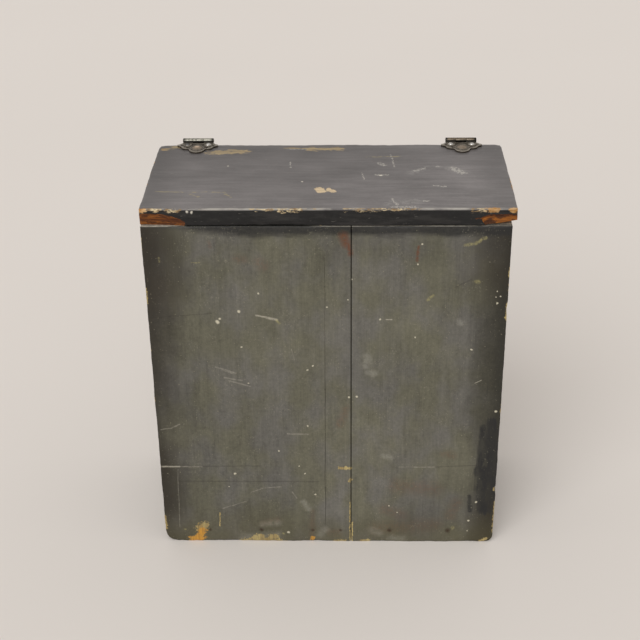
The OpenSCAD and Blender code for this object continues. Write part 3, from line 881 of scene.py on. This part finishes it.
PALE_SPECKS = strokes(on_front, [
    (-76, 349, 1.7), (-99, 326.5, 2.6), (-124, 313, 3.0), (-121, 317, 1.8), (0, 332, 1.4), (28, 367, 1.3),
    (24, 341, 1.4), (105, 410, 1.6), (101, 386, 1.5), (190, 352, 1.2), (189, 345, 1.0), (194, 346, 1.1),
    (191, 337, 1.8), (165, 277, 1.7), (100, 293, 1.3), (-98, 280, 1.6), (-17, 255, 1.5), (-23, 249, 1.5),
    (-24, 172, 1.6), (-92, 231, 1.2), (-59, 136, 1.6), (-35, 114, 1.4), (-28, 103, 1.6), (-113, 103, 1.9),
    (-121, 83, 1.4), (-16, 72, 1.6), (-50, 14, 2.6), (74, 55, 1.6), (84, 45, 1.2), (172, 33, 1.9),
    (180, 61, 2.1), (171, 17, 1.3), (25, 212, 1.7), (34, 213, 1.9), (197, 193, 2.4), (60, 316, 1.5),
])
YELLOW_SPECKS = strokes(on_front, [
    (-185, 394, -185, 389, 1.7), (166, 364, 169, 364, 3.6), (119, 347, 113, 341, 2.8),
    (153, 21, 153, 22, 3.4), (-57, 12, -56, 12, 2), (-179, 18, -178, 18, 2), (152, 409, 163, 411, 2.6),
    (163, 411, 174, 418, 2.8), (-149, 388, -140, 388, 1), (-57, 315, -54, 311, 2.4),
])
PALE_SCRATCHES = strokes(on_front, [
    (-80, 321, -66, 318.5, 1.7), (-68, 318.5, -57, 316, 2.6), (67, 316, 73, 316, 1.2),
    (171, 232, 178, 236, 0.8), (-203, 112.5, -180, 112.5, 1.8),
])
FAINT_SCRATCHES = strokes(on_front, [
    (-94, 75, -80, 81, 1.2), (-80, 81, -57, 83, 1.1), (-130, 50, -101, 61, 1.1), (-44, 75, -39, 66, 1.3),
    (-129, 253, -106, 245, 1.7), (-122, 249, -110, 245, 1.4), (-120, 239, -99, 235, 1.5),
    (-115, 235, -90, 227, 1.5), (-48, 160.5, -24, 160, 1.8), (-199, 166, -186, 168, 1.3),
    (-186, 168, -176, 174, 1.5), (-41, 277, -38, 263, 0.7), (-182, 109, -185, 22, 0.7),
    (85, 113, 130, 113, 0.6), (-184, 112.5, -152, 112.5, 1.2), (104, 113, 128, 113, 1.1),
])
DARK_SCRATCHES = strokes(on_front, [
    (-153, 113, -82, 114, 1.5), (-183, 91, -12, 91, 1.6), (128, 113, 180, 116, 1.4),
    (143, 357, 161, 367, 1.3), (-153, 378, -152, 377, 2.2), (-147, 168, -145, 170, 1.4),
    (164, 157, 166, 156, 1.4), (-200, 318, -130, 324, 1.3),
])
SPLIT_DOTS = strokes(on_front, [(-2, 358, 1.6), (-2.8, 223, 1.6), (-3.6, 82, 1.8)])
NAIL_RUST = strokes(on_front, [
    (-147, 17, 3.4), (-83.5, 17, 4.2), (-20, 17, 3.4), (14.5, 17, 3.4), (75, 17, 4.6), (147, 17, 5.4),
])
BLACK_STROKES = strokes(on_front, [
    (193, 176, 190, 130, 13), (184, 170, 181, 104, 8), (198, 160, 198, 64, 18), (188, 106, 191, 52, 18),
    (171.5, 70, 172.5, 48, 5),
])
# Painted shade in the upper corners and low along both side edges of the front.
SHADED_CORNERS = strokes(on_front, [
    (-194, 422, -190, 360, 62), (-204, 420, -202, 380, 40), (190, 420, 186, 376, 58), (194, 6, 198, 50, 34),
    (-198, 130, -198, 50, 30),
])
BROWN_STAINS = strokes(on_front, [
    (82, 85, 128, 80, 18), (140, 132, 148, 130, 9), (-74, 388, -70, 384, 12), (-98, 392, -92, 392, 9),
    (14, 174, 21, 196, 8), (-128, 415, -127, 408, 3.5), (-19, 46, -21, 10, 6), (-82, 27, -62, 32, 8),
    (10, 12, 2, 14, 10), (60, 20, 130, 26, 18), (70, 50, 90, 40, 14), (150, 40, 156, 60, 12),
])
PALE_CLOUDS = strokes(on_front, [
    (45, 268, 46, 262, 8), (44, 256, 45, 254, 5), (48, 246, 56, 244, 6), (-12, 10, -4, 18, 9),
    (-106, 6, -64, 10, 9), (54, 18, 62, 12, 8), (76, 5, 92, 4, 8), (-82, 26, -62, 28, 8),
    (66, 130, 74, 126, 6), (-30, 60, -24, 50, 6), (150, 314, 152, 312, 6),
])
LIGHT_CLOUDS = strokes(on_front, [
    (5, 165, 20, 75, 60), (40, 190, 60, 140, 45), (-118, 118, -112, 92, 45), (-186, 352, -158, 340, 42),
])
DIM_CLOUDS = strokes(on_front, [
    (112, 40, 150, 75, 48), (15, 408, 110, 404, 36), (170, 412, 190, 412, 26), (-165, 215, -165, 190, 35),
])
print("chips and specks:", len(ORANGE_CHIPS + TAN_CHIPS + RED_CHIPS), len(PALE_SPECKS + YELLOW_SPECKS))


# %% [markdown]
# ## Paint on the front
# The front was black once and has faded to a mottled grey-green. One noise between two tones would look
# like stone. So the finish is built as the surface was: faded coat first, with painted shade darkening it
# towards its edges, corners and foot, then stains, a later coat of black along the top and the right edge,
# scratches, specks, and last the chips where wood shows.

# %% Faded paint, on the front and on the other walls
def faded_coat(f, olive, grey, seed):
    """Faded black paint with upright streaks; returns its colour and the noises behind it."""
    streak = f.noise(1.5, (1, 1, 30), 4.0, 0.7, seed)
    broad = f.noise(8, (1, 1, 9), 3.0, 0.6, seed + 1)
    cloud = f.noise(90, (1, 1, 1.6), 4.0, 0.55, seed + 2)
    tint = f.noise(45, (1, 1, 1.4), 3.0, 0.5, seed + 4)
    mottle = f.noise(4, detail=5.0, rough=0.7, seed=seed + 6)
    smudge = f.noise(13, (1, 1, 1.5), 5.0, 0.65, seed + 8)
    light = f.swings(0.86, (streak, 0.4), (mottle, 0.8), (broad, 0.4), (cloud, 0.75), (smudge, 0.45))
    return f.scaled(f.mix(f.rise(tint, 0.38, 0.66), olive, grey), light), cloud, streak, mottle


def rubbed_arris(f, gap, mottle, size, start, full, width, seed):
    """Share of bare wood along the arrises, in runs of about size millimetres that noise sets."""
    runs = f.rise(f.noise(size, detail=3.0, rough=0.6, seed=seed), start, full)
    worn = f.swing(mottle, 3 * MM, f.times(runs, width * MM))
    return f.rise(f.minus(gap, worn), 0.1 * MM, -0.5 * MM)


# %% Faded coat and shade of the front
f = Finish("front_paint")
colour, cloud, streak, mottle = faded_coat(f, (100, 98, 83), (103, 101, 95), 2.0)
ragged = f.shaken(5, 1.5, 1.0)
wavy = f.shaken(16, 0.9, 3.0)
brushed = f.shaken(14, 3.5, 5.0)

from_right = f.minus(bin_high.x, f.x)
from_foot = f.swing(cloud, 0.06, f.z)
# Painted shade: the front is darkened towards its left and right edges and towards its foot.
left_shade = f.rise(f.swing(cloud, 0.07, f.minus(f.x, bin_low.x)), 46 * MM, -6 * MM)
right_shade = f.rise(f.swing(cloud, 0.07, from_right), 52 * MM, 2 * MM)
foot_shade = f.times(f.rise(from_foot, 70 * MM, 0.0), 0.22)
shade = f.most(left_shade, right_shade, foot_shade)
dark_edge = f.mix(f.rise(f.x, -0.1, 0.1), (44, 40, 32), (47, 45, 36))
# Painted shade: a narrow, darker strip along the right edge.
rim = f.rise(f.swing(cloud, 0.02, from_right), 14 * MM, 2 * MM)
stain = f.times(f.marks(brushed, BROWN_STAINS), f.rise(mottle, 0.3, 0.65))
pale_cloud = f.times(f.marks(brushed, PALE_CLOUDS), f.swing(mottle, 1.6, 0.55))
colour = f.lay(
    colour,
    (shade, 0.94, f.scaled(dark_edge, f.swing(mottle, 1.4, 1.0))),
    (rim, 0.5, (34, 33, 28)),
    (f.marks(brushed, SHADED_CORNERS), f.swing(mottle, 1.0, 0.5), (36, 29, 18)),
    (stain, 0.4, (96, 66, 48)),
    (pale_cloud, 0.44, (164, 162, 152)))
lighter = f.times(f.marks(brushed, LIGHT_CLOUDS), 0.2)
dimmer = f.times(f.marks(brushed, DIM_CLOUDS), -0.19)
colour = f.scaled(colour, f.plus(lighter, dimmer, 1.0))
colour = f.lay(colour, (f.rise(from_foot, 60 * MM, 0.0), 0.3, (92, 86, 56)))
print("nodes so far:", len(f.tree.nodes))

# %% Later black paint of the front
below_top = f.minus(wall_top, f.z)
brush = f.noise(9, (4, 1, 1), 4.0, 0.65, 13.0)
band_edge = f.swings(11.5 * MM, (streak, 7 * MM), (brush, 16 * MM))
band_edge = f.times(band_edge, f.rise(f.x, on_front(-190, 0).x, on_front(-85, 0).x))
band = f.rise(f.minus(below_top, band_edge), 5.5 * MM, -5 * MM)
dry = f.noise(2.2, (1, 1, 16), 4.0, 0.65, 17.0)
patch = f.rise(f.swing(dry, 1.5, f.marks(brushed, BLACK_STROKES)), 0.16, 0.74)
patch = f.times(patch, f.swing(f.noise(8, (1, 1, 4), 4.0, 0.6, 18.0), 2.2, 0.9))
black = f.times(f.most(band, patch), f.swing(mottle, 0.6, 0.9))
colour = f.mix(black, colour, (30, 30, 30))
print("nodes so far:", len(f.tree.nodes))

# %% Scratches and specks of the front
dark_lines = f.most(f.marks(wavy, DARK_SCRATCHES), f.marks(wavy, SPLIT_DOTS, 0.6))
faint_lines = f.times(f.marks(wavy, FAINT_SCRATCHES), f.rise(mottle, 0.2, 0.7))
pale_lines = f.times(f.marks(wavy, PALE_SCRATCHES), f.rise(mottle, 0.2, 0.64))
scuffs = f.rise(f.noise(2, (1, 1, 1.6), 4.0, 0.65, 33.0), 0.54, 0.7)
scuffed = f.rise(f.noise(20, detail=3.0, seed=35.0), 0.5, 0.68)
flecks = f.rise(f.noise(2.6, detail=2.0, rough=0.6, seed=21.0), 0.66, 0.74)
yellow = f.times(f.marks(ragged, YELLOW_SPECKS), f.rise(mottle, 0.32, 0.62))
colour = f.lay(
    colour,
    (dark_lines, 0.33, (42, 38, 32)),
    (faint_lines, 0.5, (164, 159, 146)),
    (pale_lines, 0.7, (186, 180, 164)),
    (f.marks(ragged, NAIL_RUST), 0.9, (48, 30, 15)),
    (f.times(scuffs, scuffed, f.minus(1.0, shade)), 0.45, (146, 142, 126)),
    (flecks, 0.45, (150, 145, 122)),
    (f.marks(ragged, PALE_SPECKS, 0.7), 0.88, (200, 194, 172)),
    (yellow, 0.66, (160, 152, 102)))
print("nodes so far:", len(f.tree.nodes))

# %% Chips of the front
bands, fibres = wood_grain(f, 2, 15.0)
orange = f.broken(f.marks(ragged, ORANGE_CHIPS), 0.7, 3.5, seed=25.0)
tan = f.broken(f.marks(ragged, TAN_CHIPS), 0.8, 3.0, seed=27.0)
red = f.times(f.marks(ragged, RED_CHIPS), f.rise(mottle, 0.2, 0.55))
under_lid = f.rise(f.z, wall_top - 5 * MM, wall_top - 3 * MM)
gap = f.plus(f.arris(bin_low, bin_high), f.times(under_lid, 10 * MM))
rubbed = rubbed_arris(f, gap, mottle, 26, 0.52, 0.8, 2.6, 30.0)
wood = f.lay(
    f.mix(f.rise(bands, 0.35, 0.7), (186, 168, 114), (150, 130, 84)),
    (orange, 0.85, (206, 146, 46)),
    (f.rise(red, 0.0, 0.2), 1.0, (100, 63, 44)),
    (f.rise(fibres, 0.4, 0.7), 0.5, (92, 66, 40)))
chips = f.times(f.most(orange, tan, red, rubbed), f.swing(mottle, 0.8, 0.86))
gap_left = f.rise(f.x, on_front(-152, 0).x, on_front(-156, 0).x)
gap_right = f.times(f.rise(f.x, on_front(-25, 0).x, on_front(0, 0).x), 0.55)
pale_top = f.times(f.rise(below_top, 0.7 * MM, 0.2 * MM), f.most(gap_left, gap_right))
colour = f.lay(colour, (chips, 1.0, wood), (pale_top, f.swing(mottle, 1.2, 0.6), (186, 180, 168)))

rough = f.swing(mottle, 0.2, f.plus(f.times(chips, 0.2), 0.58))
rough = f.minus(rough, f.times(black, 0.18))
height = f.minus(f.times(streak, 0.3), f.times(chips, 0.9))
height = f.plus(height, f.times(fibres, chips, 0.6))
front_paint = f.done(colour, rough, height, 0.18 * MM, specular=0.36)
print("front paint:", len(f.tree.nodes), "nodes")


# %% [markdown]
# ## Paint on the other walls
# The sides and the back had the same black paint. They could share the finish of the front, but its marks
# have their places there and nowhere else. So they get a finish of their own: faded and mottled in the
# same way, rubbed to the wood along the arrises, and darkened a little towards them with painted shade.

# %% Paint of the sides and the back
f = Finish("wall_paint")
colour, cloud, streak, mottle = faded_coat(f, (86, 85, 71), (89, 87, 81), 42.0)
gap = f.arris(bin_low, bin_high)
# Painted shade: the walls darken towards their arrises.
shade = f.rise(f.swing(cloud, 0.06, gap), 48 * MM, 4 * MM)
scuffs = f.rise(f.noise(7, (3, 3, 0.5), 4.0, 0.7, 51.0), 0.66, 0.8)
flecks = f.rise(f.noise(2.6, detail=2.0, rough=0.6, seed=53.0), 0.68, 0.76)
bands, fibres = wood_grain(f, 2, 55.0)
rubbed = rubbed_arris(f, f.minus(gap, 0.1 * MM), mottle, 24, 0.44, 0.72, 3.8, 58.0)
spots = f.rise(f.noise(15, detail=5.0, rough=0.65, seed=61.0), 0.71, 0.74)
chips = f.times(f.most(rubbed, spots), f.swing(mottle, 0.8, 0.86))
wood = f.mix(f.rise(bands, 0.35, 0.7), (182, 152, 102), (148, 114, 72))
colour = f.lay(
    colour,
    (shade, 0.8, f.scaled((46, 43, 35), f.swing(mottle, 1.4, 1.0))),
    (scuffs, 0.45, (150, 142, 122)),
    (flecks, 0.35, (160, 152, 128)),
    (chips, 1.0, f.lay(wood, (f.rise(fibres, 0.4, 0.7), 0.5, (92, 66, 40)))))
rough = f.swing(mottle, 0.2, f.plus(f.times(chips, 0.2), 0.58))
height = f.minus(f.times(streak, 0.3), f.times(chips, 0.9))
wall_paint = f.done(colour, rough, height, 0.18 * MM, specular=0.36)
print("wall paint:", len(f.tree.nodes), "nodes")


# %% [markdown]
# ## Paint on the lid
# The lid's satin black is the best kept paint. A glossy black alone would look new. Its top is painted a
# pale grey, partly for a film of dust and partly as painted sheen, the reflection of the bright room; it is
# paler towards the front, with fine brush marks from left to right, and a thin painted highlight runs along
# the front arris. Its front edge stays dark. Wood shows along the front arris, beside the hinges and in a
# few worn spots. The marks along the arris are squeezed, which makes them longer than deep.

# %% Marks on the lid
ARRIS_SQUEEZE = Vector((1, 2.2, 1))


def on_lid(x, y):
    """A place on the lid's top, in millimetres from the middle of its front."""
    return Vector((mid_x + x * MM, front_y + y * MM, lid_high.z))


def on_arris(x, y):
    """A place on the lid's top in squeezed coordinates."""
    return on_lid(x, y) * ARRIS_SQUEEZE


def on_edge(x, down):
    """A place on the lid's front edge, in millimetres from the middle of its arris."""
    return on_lid(x, 0) - Vector((0, 0, down * MM))


LID_SPOTS = strokes(on_lid, [(-8.5, 54, -6, 48, 9), (2.5, 55, 3, 51, 5), (4.5, 50, 7, 48, 6.5)])
LID_BARE = strokes(on_lid, [
    (-142, 163, -98, 166, 10), (-118, 171, -98, 170, 6), (-196, 174, -180, 182, 8), (-20, 175, 12, 174, 11),
    (-58, 178, -22, 176, 3),
])
LID_ARRIS_BARE = strokes(on_arris, [
    (-192, 1, -182, 1, 6), (-172, 1, -160, 1, 7), (-75, 1, -54, 1, 4.5), (-50, 1, -27, 1, 7),
    (22, 1, 54, 1, 6), (56, 1, 100, 1, 4), (159, 1, 171, 1, 7),
])
LID_BLOCKS = strokes(on_arris, [(-204, 1, -199, 1, 7.5), (179, 1, 184, 1, 7.5), (203, 1, 207, 1, 9)])
LID_SPECKS = strokes(on_lid, [(-116, 122, 2.0), (-28, 75, 2.0), (-108, -1, 1.5), (61, 93, 2.4)])
EDGE_SPECKS = strokes(on_edge, [
    (-150.5, 3.2, 2.7), (-146, 4.2, 2.2), (-149, 0.6, 1.6), (-14, 18, 1.3), (126, 18, 1.4),
])
LID_SCRATCHES = strokes(on_lid, [
    (-48, 174, -20, 173, 2), (74.5, 156, 77.5, 118, 1.8), (56, 94, 68, 94, 4), (100, 106, 112, 114, 3),
    (126, 119, 128, 119, 2), (145, 113, 155, 100, 8), (119, 64, 133, 61, 3), (107, 21, 114, 21, 3.4),
    (72, 27, 78, 11, 3), (-43, 134, -43, 116, 1.8), (72, 5, 98, 5, 4), (60, 130, 66, 122, 5),
    (40, 100, 42, 80, 1.8),
])
LID_YELLOW = strokes(on_lid, [
    (-152, 46, -134, 46, 3.6), (-150, 40, -142, 34, 3.4), (-112, 40, -105, 33, 3.2), (46, 148, 86, 150, 3),
    (-190, 48, -160, 46, 2.4), (-128, 46, -112, 45, 2.4),
])
LID_HAZE = strokes(on_lid, [
    (96, 100, 114, 114, 9), (126, 120, 130, 118, 6), (142, 113, 157, 99, 11), (70, 14, 100, 22, 12),
])
print("bare places on the lid:", len(LID_SPOTS + LID_BARE + LID_ARRIS_BARE + LID_BLOCKS))

# %% Dust and scratches of the lid
f = Finish("lid_paint")
fine = f.noise(1.4, (30, 1, 1), 4.0, 0.7, 70.0)
broad = f.noise(7, (9, 1, 1), 3.0, 0.6, 71.0)
cloud = f.noise(70, (2, 1, 1), 4.0, 0.55, 72.0)
smudge = f.noise(24, (1.8, 1, 1), 4.0, 0.6, 73.0)
mottle = f.noise(4, detail=5.0, rough=0.7, seed=74.0)
ragged = f.shaken(6, 1.8, 7.0)
wavy = f.shaken(14, 1.2, 9.0)

# The top's pale grey is partly dust and partly painted sheen, the reflection of the bright surroundings on
# satin paint. It is paler towards the front and the right, and dimmer towards the ends.
dust = f.swings(1.0, (smudge, 0.6), (cloud, 0.9), (mottle, 0.5), (broad, 0.7), (fine, 0.7))
paler_right = f.times(f.rise(f.x, -0.05, 0.2), 0.33)
paler_left = f.times(f.rise(f.x, -0.04, -0.18), 0.1)
paler_front = f.times(f.rise(f.y, lid_high.y, lid_low.y), 0.37)
from_middle = f.math("ABSOLUTE", f.minus(f.x, mid_x))
dimmer_ends = f.times(f.rise(from_middle, 155 * MM, 198 * MM), -0.36)
dust = f.times(dust, f.plus(paler_left, paler_right, paler_front, dimmer_ends, 0.91))
on_top = f.rise(f.z, lid_high.z - 2.6 * MM, lid_high.z - 0.9 * MM)
edge_black = f.scaled((15, 15, 16), f.swings(0.8, (broad, 1.5), (mottle, 2.4)))
edge_dust = f.rise(f.noise(8, (5, 1, 1), 4.0, 0.65, 75.0), 0.46, 0.7)
edge_black = f.lay(edge_black, (edge_dust, 0.4, (56, 54, 52)))
# Painted highlight: a thin pale line along the front arris of the top.
arris_highlight = f.times(f.rise(f.y, lid_low.y + 3 * MM, lid_low.y + 1.4 * MM), on_top)
line_noise = f.rise(f.noise(9, (4, 1, 1), 4.0, 0.65, 87.0), 0.4, 0.62)
haze = f.times(f.marks(wavy, LID_HAZE), f.rise(mottle, 0.38, 0.62))
pale_lines = f.broken(f.times(f.marks(wavy, LID_SCRATCHES), 0.62), 1.2, 2.6, seed=76.0)
yellow = f.broken(f.times(f.marks(wavy, LID_YELLOW), 0.6), 1.2, 3, (2, 1, 1), 78.0)
scuffs = f.rise(f.noise(3, (3, 1, 1), 4.0, 0.7, 79.0), 0.62, 0.76)
# The top in its pale grey of dust and painted sheen, over the dark front edge, then the painted highlight
# along its front arris.
colour = f.lay(
    f.mix(on_top, edge_black, f.scaled((92, 89, 89), dust)),
    (arris_highlight, f.times(line_noise, 0.5), (196, 192, 182)),
    (haze, 0.24, (180, 178, 172)),
    (pale_lines, 0.5, (196, 192, 182)),
    (yellow, 0.4, (166, 152, 104)),
    (scuffs, 0.35, (160, 156, 146)))
print("nodes so far:", len(f.tree.nodes))

# %% Bare wood of the lid
bare = f.broken(f.times(f.marks(ragged, LID_BARE), 0.85), 0.9, 4, (3, 1, 1), 81.0)
bare = f.times(bare, f.swing(fine, 2.0, 0.92))
spots = f.broken(f.marks(ragged, LID_SPOTS, 0.8), 0.4, 4, seed=88.0)
squeezed = f.vector("MULTIPLY", ragged, ARRIS_SQUEEZE)[0]
front_bare = f.broken(f.times(f.marks(squeezed, LID_ARRIS_BARE), 0.68), 1.2, 2.4, (3.2, 1, 1), 82.0)
front_bare = f.most(front_bare, f.broken(f.marks(squeezed, LID_BLOCKS, 0.8), 0.5, 2.4, seed=85.0))
rubbed = rubbed_arris(f, f.arris(lid_low, lid_high), mottle, 22, 0.5, 0.8, 1.6, 80.0)
chips = f.times(f.most(bare, spots, front_bare, rubbed), f.swing(mottle, 0.8, 0.88))
bands, fibres = wood_grain(f, 0, 84.0)
front_tone = f.rise(f.noise(6, (1.6, 1, 1), 3.0, 0.6, 86.0), 0.4, 0.6)
left_end = f.rise(f.x, on_lid(-192, 0).x, on_lid(-198, 0).x)
right_end = f.rise(f.x, on_lid(168, 0).x, on_lid(176, 0).x)
at_hinges = f.rise(f.y, on_lid(0, 130).y, on_lid(0, 150).y)
wood = f.lay(
    f.mix(f.rise(bands, 0.35, 0.7), (198, 178, 138), (156, 132, 94)),
    (front_bare, 0.85, f.mix(front_tone, (132, 104, 66), (226, 210, 172))),
    (spots, 0.85, (226, 204, 168)),
    (left_end, 0.6, (196, 132, 52)),
    (right_end, 0.6, (184, 126, 46)),
    (at_hinges, 0.7, (168, 151, 116)),
    (f.rise(fibres, 0.45, 0.7), 0.5, (92, 62, 36)))
colour = f.lay(
    colour,
    (chips, 1.0, wood),
    (f.marks(ragged, LID_SPECKS, 0.7), 0.8, (222, 216, 200)),
    (f.marks(ragged, EDGE_SPECKS, 0.7), 0.95, (232, 226, 212)))
rough = f.swing(mottle, 0.16, f.plus(f.times(chips, 0.3), 0.42))
height = f.minus(f.times(fine, 0.3), f.times(chips, 0.9))
lid_paint = f.done(colour, rough, height, 0.15 * MM, specular=0.38)
print("lid paint:", len(f.tree.nodes), "nodes")


# %% [markdown]
# ## Iron and steel
# The hinges are dark iron that handling has brightened on its high parts. A node that finds convex edges
# could place the bright parts, but it follows the mesh, and the height over the wood tells the same more
# simply. The screw heads are worn to bright steel, and the nails are rusty. All of them get their tone
# from noise at two scales, so no metal is one flat colour.

# %% Iron of the hinges
BOSS_REACH = 7 * MM
BOSS_WEAR_AND_HIGHLIGHT_REACH = 4.6 * MM

f = Finish("hinge_iron")
broad = f.noise(3.2, detail=4.0, rough=0.65, seed=90.0)
small = f.noise(1.3, detail=3.0, rough=0.6, seed=92.0)
over_wood = f.most(f.minus(f.z, lid_high.z), f.minus(f.y, back_y))
raised = f.rise(over_wood, LEAF_FACE + 0.08 * MM, LEAF_FACE + 0.34 * MM)
bosses = f.marks(f.place, [(spot, spot, BOSS_REACH) for spot in boss_places], 0.3)
# A bright spot on the left lid leaf's boss, partly worn iron and partly a painted highlight.
boss_wear_and_highlight = f.marks(f.shaken(2, 0.6, 90.0), [(boss_places[0], boss_places[0], BOSS_WEAR_AND_HIGHLIGHT_REACH)], 0.8)

pin_low, pin_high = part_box("hinge_left_pin")
axis = (pin_low + pin_high) / 2
aside = f.minus(f.y, axis.y)
above = f.minus(f.z, axis.z)
away = f.math("SQRT", f.plus(f.times(aside, aside), f.times(above, above)))
# The barrel is painted dark, partly for its iron and partly as painted shade; its top gets a painted
# highlight, paler on the left hinge than on the right.
barrel = f.rise(away, 4.2 * MM, 3.4 * MM)
along = [f.rise(f.math("ABSOLUTE", f.minus(f.x, x)), 18 * MM, 14 * MM) for x in hinge_middles]
barrel_top_highlight = f.times(barrel, f.rise(above, 0.6 * MM, 2.0 * MM), f.most(*along))
barrel_highlight_colour = f.mix(f.rise(f.x, -0.05, 0.05), (170, 168, 156), (122, 110, 94))

colour = f.lay(
    f.scaled((84, 78, 70), f.swing(broad, 1.2, 1.0)),
    (raised, f.swing(broad, 2.4, 0.72), (160, 154, 143)),
    (f.rise(small, 0.5, 0.68), 0.4, (60, 50, 42)),
    (bosses, 0.55, (134, 116, 98)),
    (boss_wear_and_highlight, 0.95, (232, 208, 180)),
    (barrel, 1.0, (38, 36, 33)),
    (barrel_top_highlight, f.rise(broad, 0.25, 0.6), barrel_highlight_colour))
hinge_iron = f.done(colour, f.swing(small, 0.4, 0.42), small, 0.12 * MM, 0.85)
print("hinge iron:", len(f.tree.nodes), "nodes")


# %% Steel and rusty iron
DULL_SCREW = Vector((-12.5, 10, 0))
DULL_REACH = 5 * MM


def metal(name, dark, light, spots, rough_low, rough_high, metallic, seed, dull=()):
    """Metal between two tones, with small spots of a third, and darker in dull places."""
    f = Finish(name)
    broad = f.noise(6, detail=4.0, rough=0.6, seed=seed)
    small = f.noise(0.9, detail=3.0, rough=0.6, seed=seed + 2)
    colour = f.mix(f.rise(broad, 0.35, 0.68), dark, light)
    colour = f.lay(colour, (f.rise(small, 0.52, 0.7), 0.55, spots))
    if dull:
        colour = f.mix(f.marks(f.place, dull, 0.2), colour, f.scaled(colour, 0.3))
    rough = f.plus(rough_low, f.times(small, rough_high - rough_low))
    return f.done(colour, rough, small, 0.12 * MM, metallic)


dull_screw = boss_places[0] + DULL_SCREW * MM
screw_steel = metal(
    "screw_steel", (174, 173, 170), (216, 215, 212), (120, 104, 86), 0.18, 0.4, 1.0, 94.0,
    [(dull_screw, dull_screw, DULL_REACH)])
pin_steel = metal("pin_steel", (84, 78, 70), (126, 118, 106), (78, 56, 42), 0.3, 0.5, 1.0, 97.0)
nail_rust = metal("nail_rust", (58, 48, 38), (84, 66, 50), (46, 36, 30), 0.6, 0.85, 0.3, 99.0)
print("finishes:", len([m for m in bpy.data.materials if m.use_nodes]))


# %% [markdown]
# ## Dress the pieces
# Paint goes on the outer faces and bare wood on the inner ones. They could be parted by hand, but each
# face's normal tells which is which. The filled nails of the front take the front's own paint, because
# the same coordinates then give the same pattern.

# %% Give out the finishes
def bare_faces(obj, inside):
    """Bare wood on the faces whose normal and middle the test calls inside."""
    for p in obj.data.polygons:
        if inside(p.normal, p.center):
            p.material_index = BARE


for obj in front_pieces:
    dress(obj, front_paint, inside_upright)
    bare_faces(obj, lambda n, c: n.y > 0.9 or (n.z > 0.9 and c.y > front_y + 6 * MM))
    smooth(obj)
for obj in wall_pieces:
    dress(obj, wall_paint, inside_upright)
    bare_faces(obj, lambda n, c: n.dot(c - Vector((mid_x, 0, c.z))) < 0 or n.z > 0.8)
    smooth(obj)
dress(bottom_piece, inside_level)
smooth(bottom_piece)
dress(lid_piece, lid_paint, inside_level, torn_wood)
bare_faces(lid_piece, lambda n, c: n.z < -0.95 and c.z < lid_low.z + 0.3 * MM)
smooth(lid_piece)
for group, material in ((iron_pieces, hinge_iron), (screw_pieces, screw_steel), (pin_pieces, pin_steel)):
    for obj in group:
        dress(obj, material)
        smooth(obj, 50)
for node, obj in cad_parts.items():
    if "nails" in node:
        dress(obj, front_paint if node.startswith("front") else nail_rust)
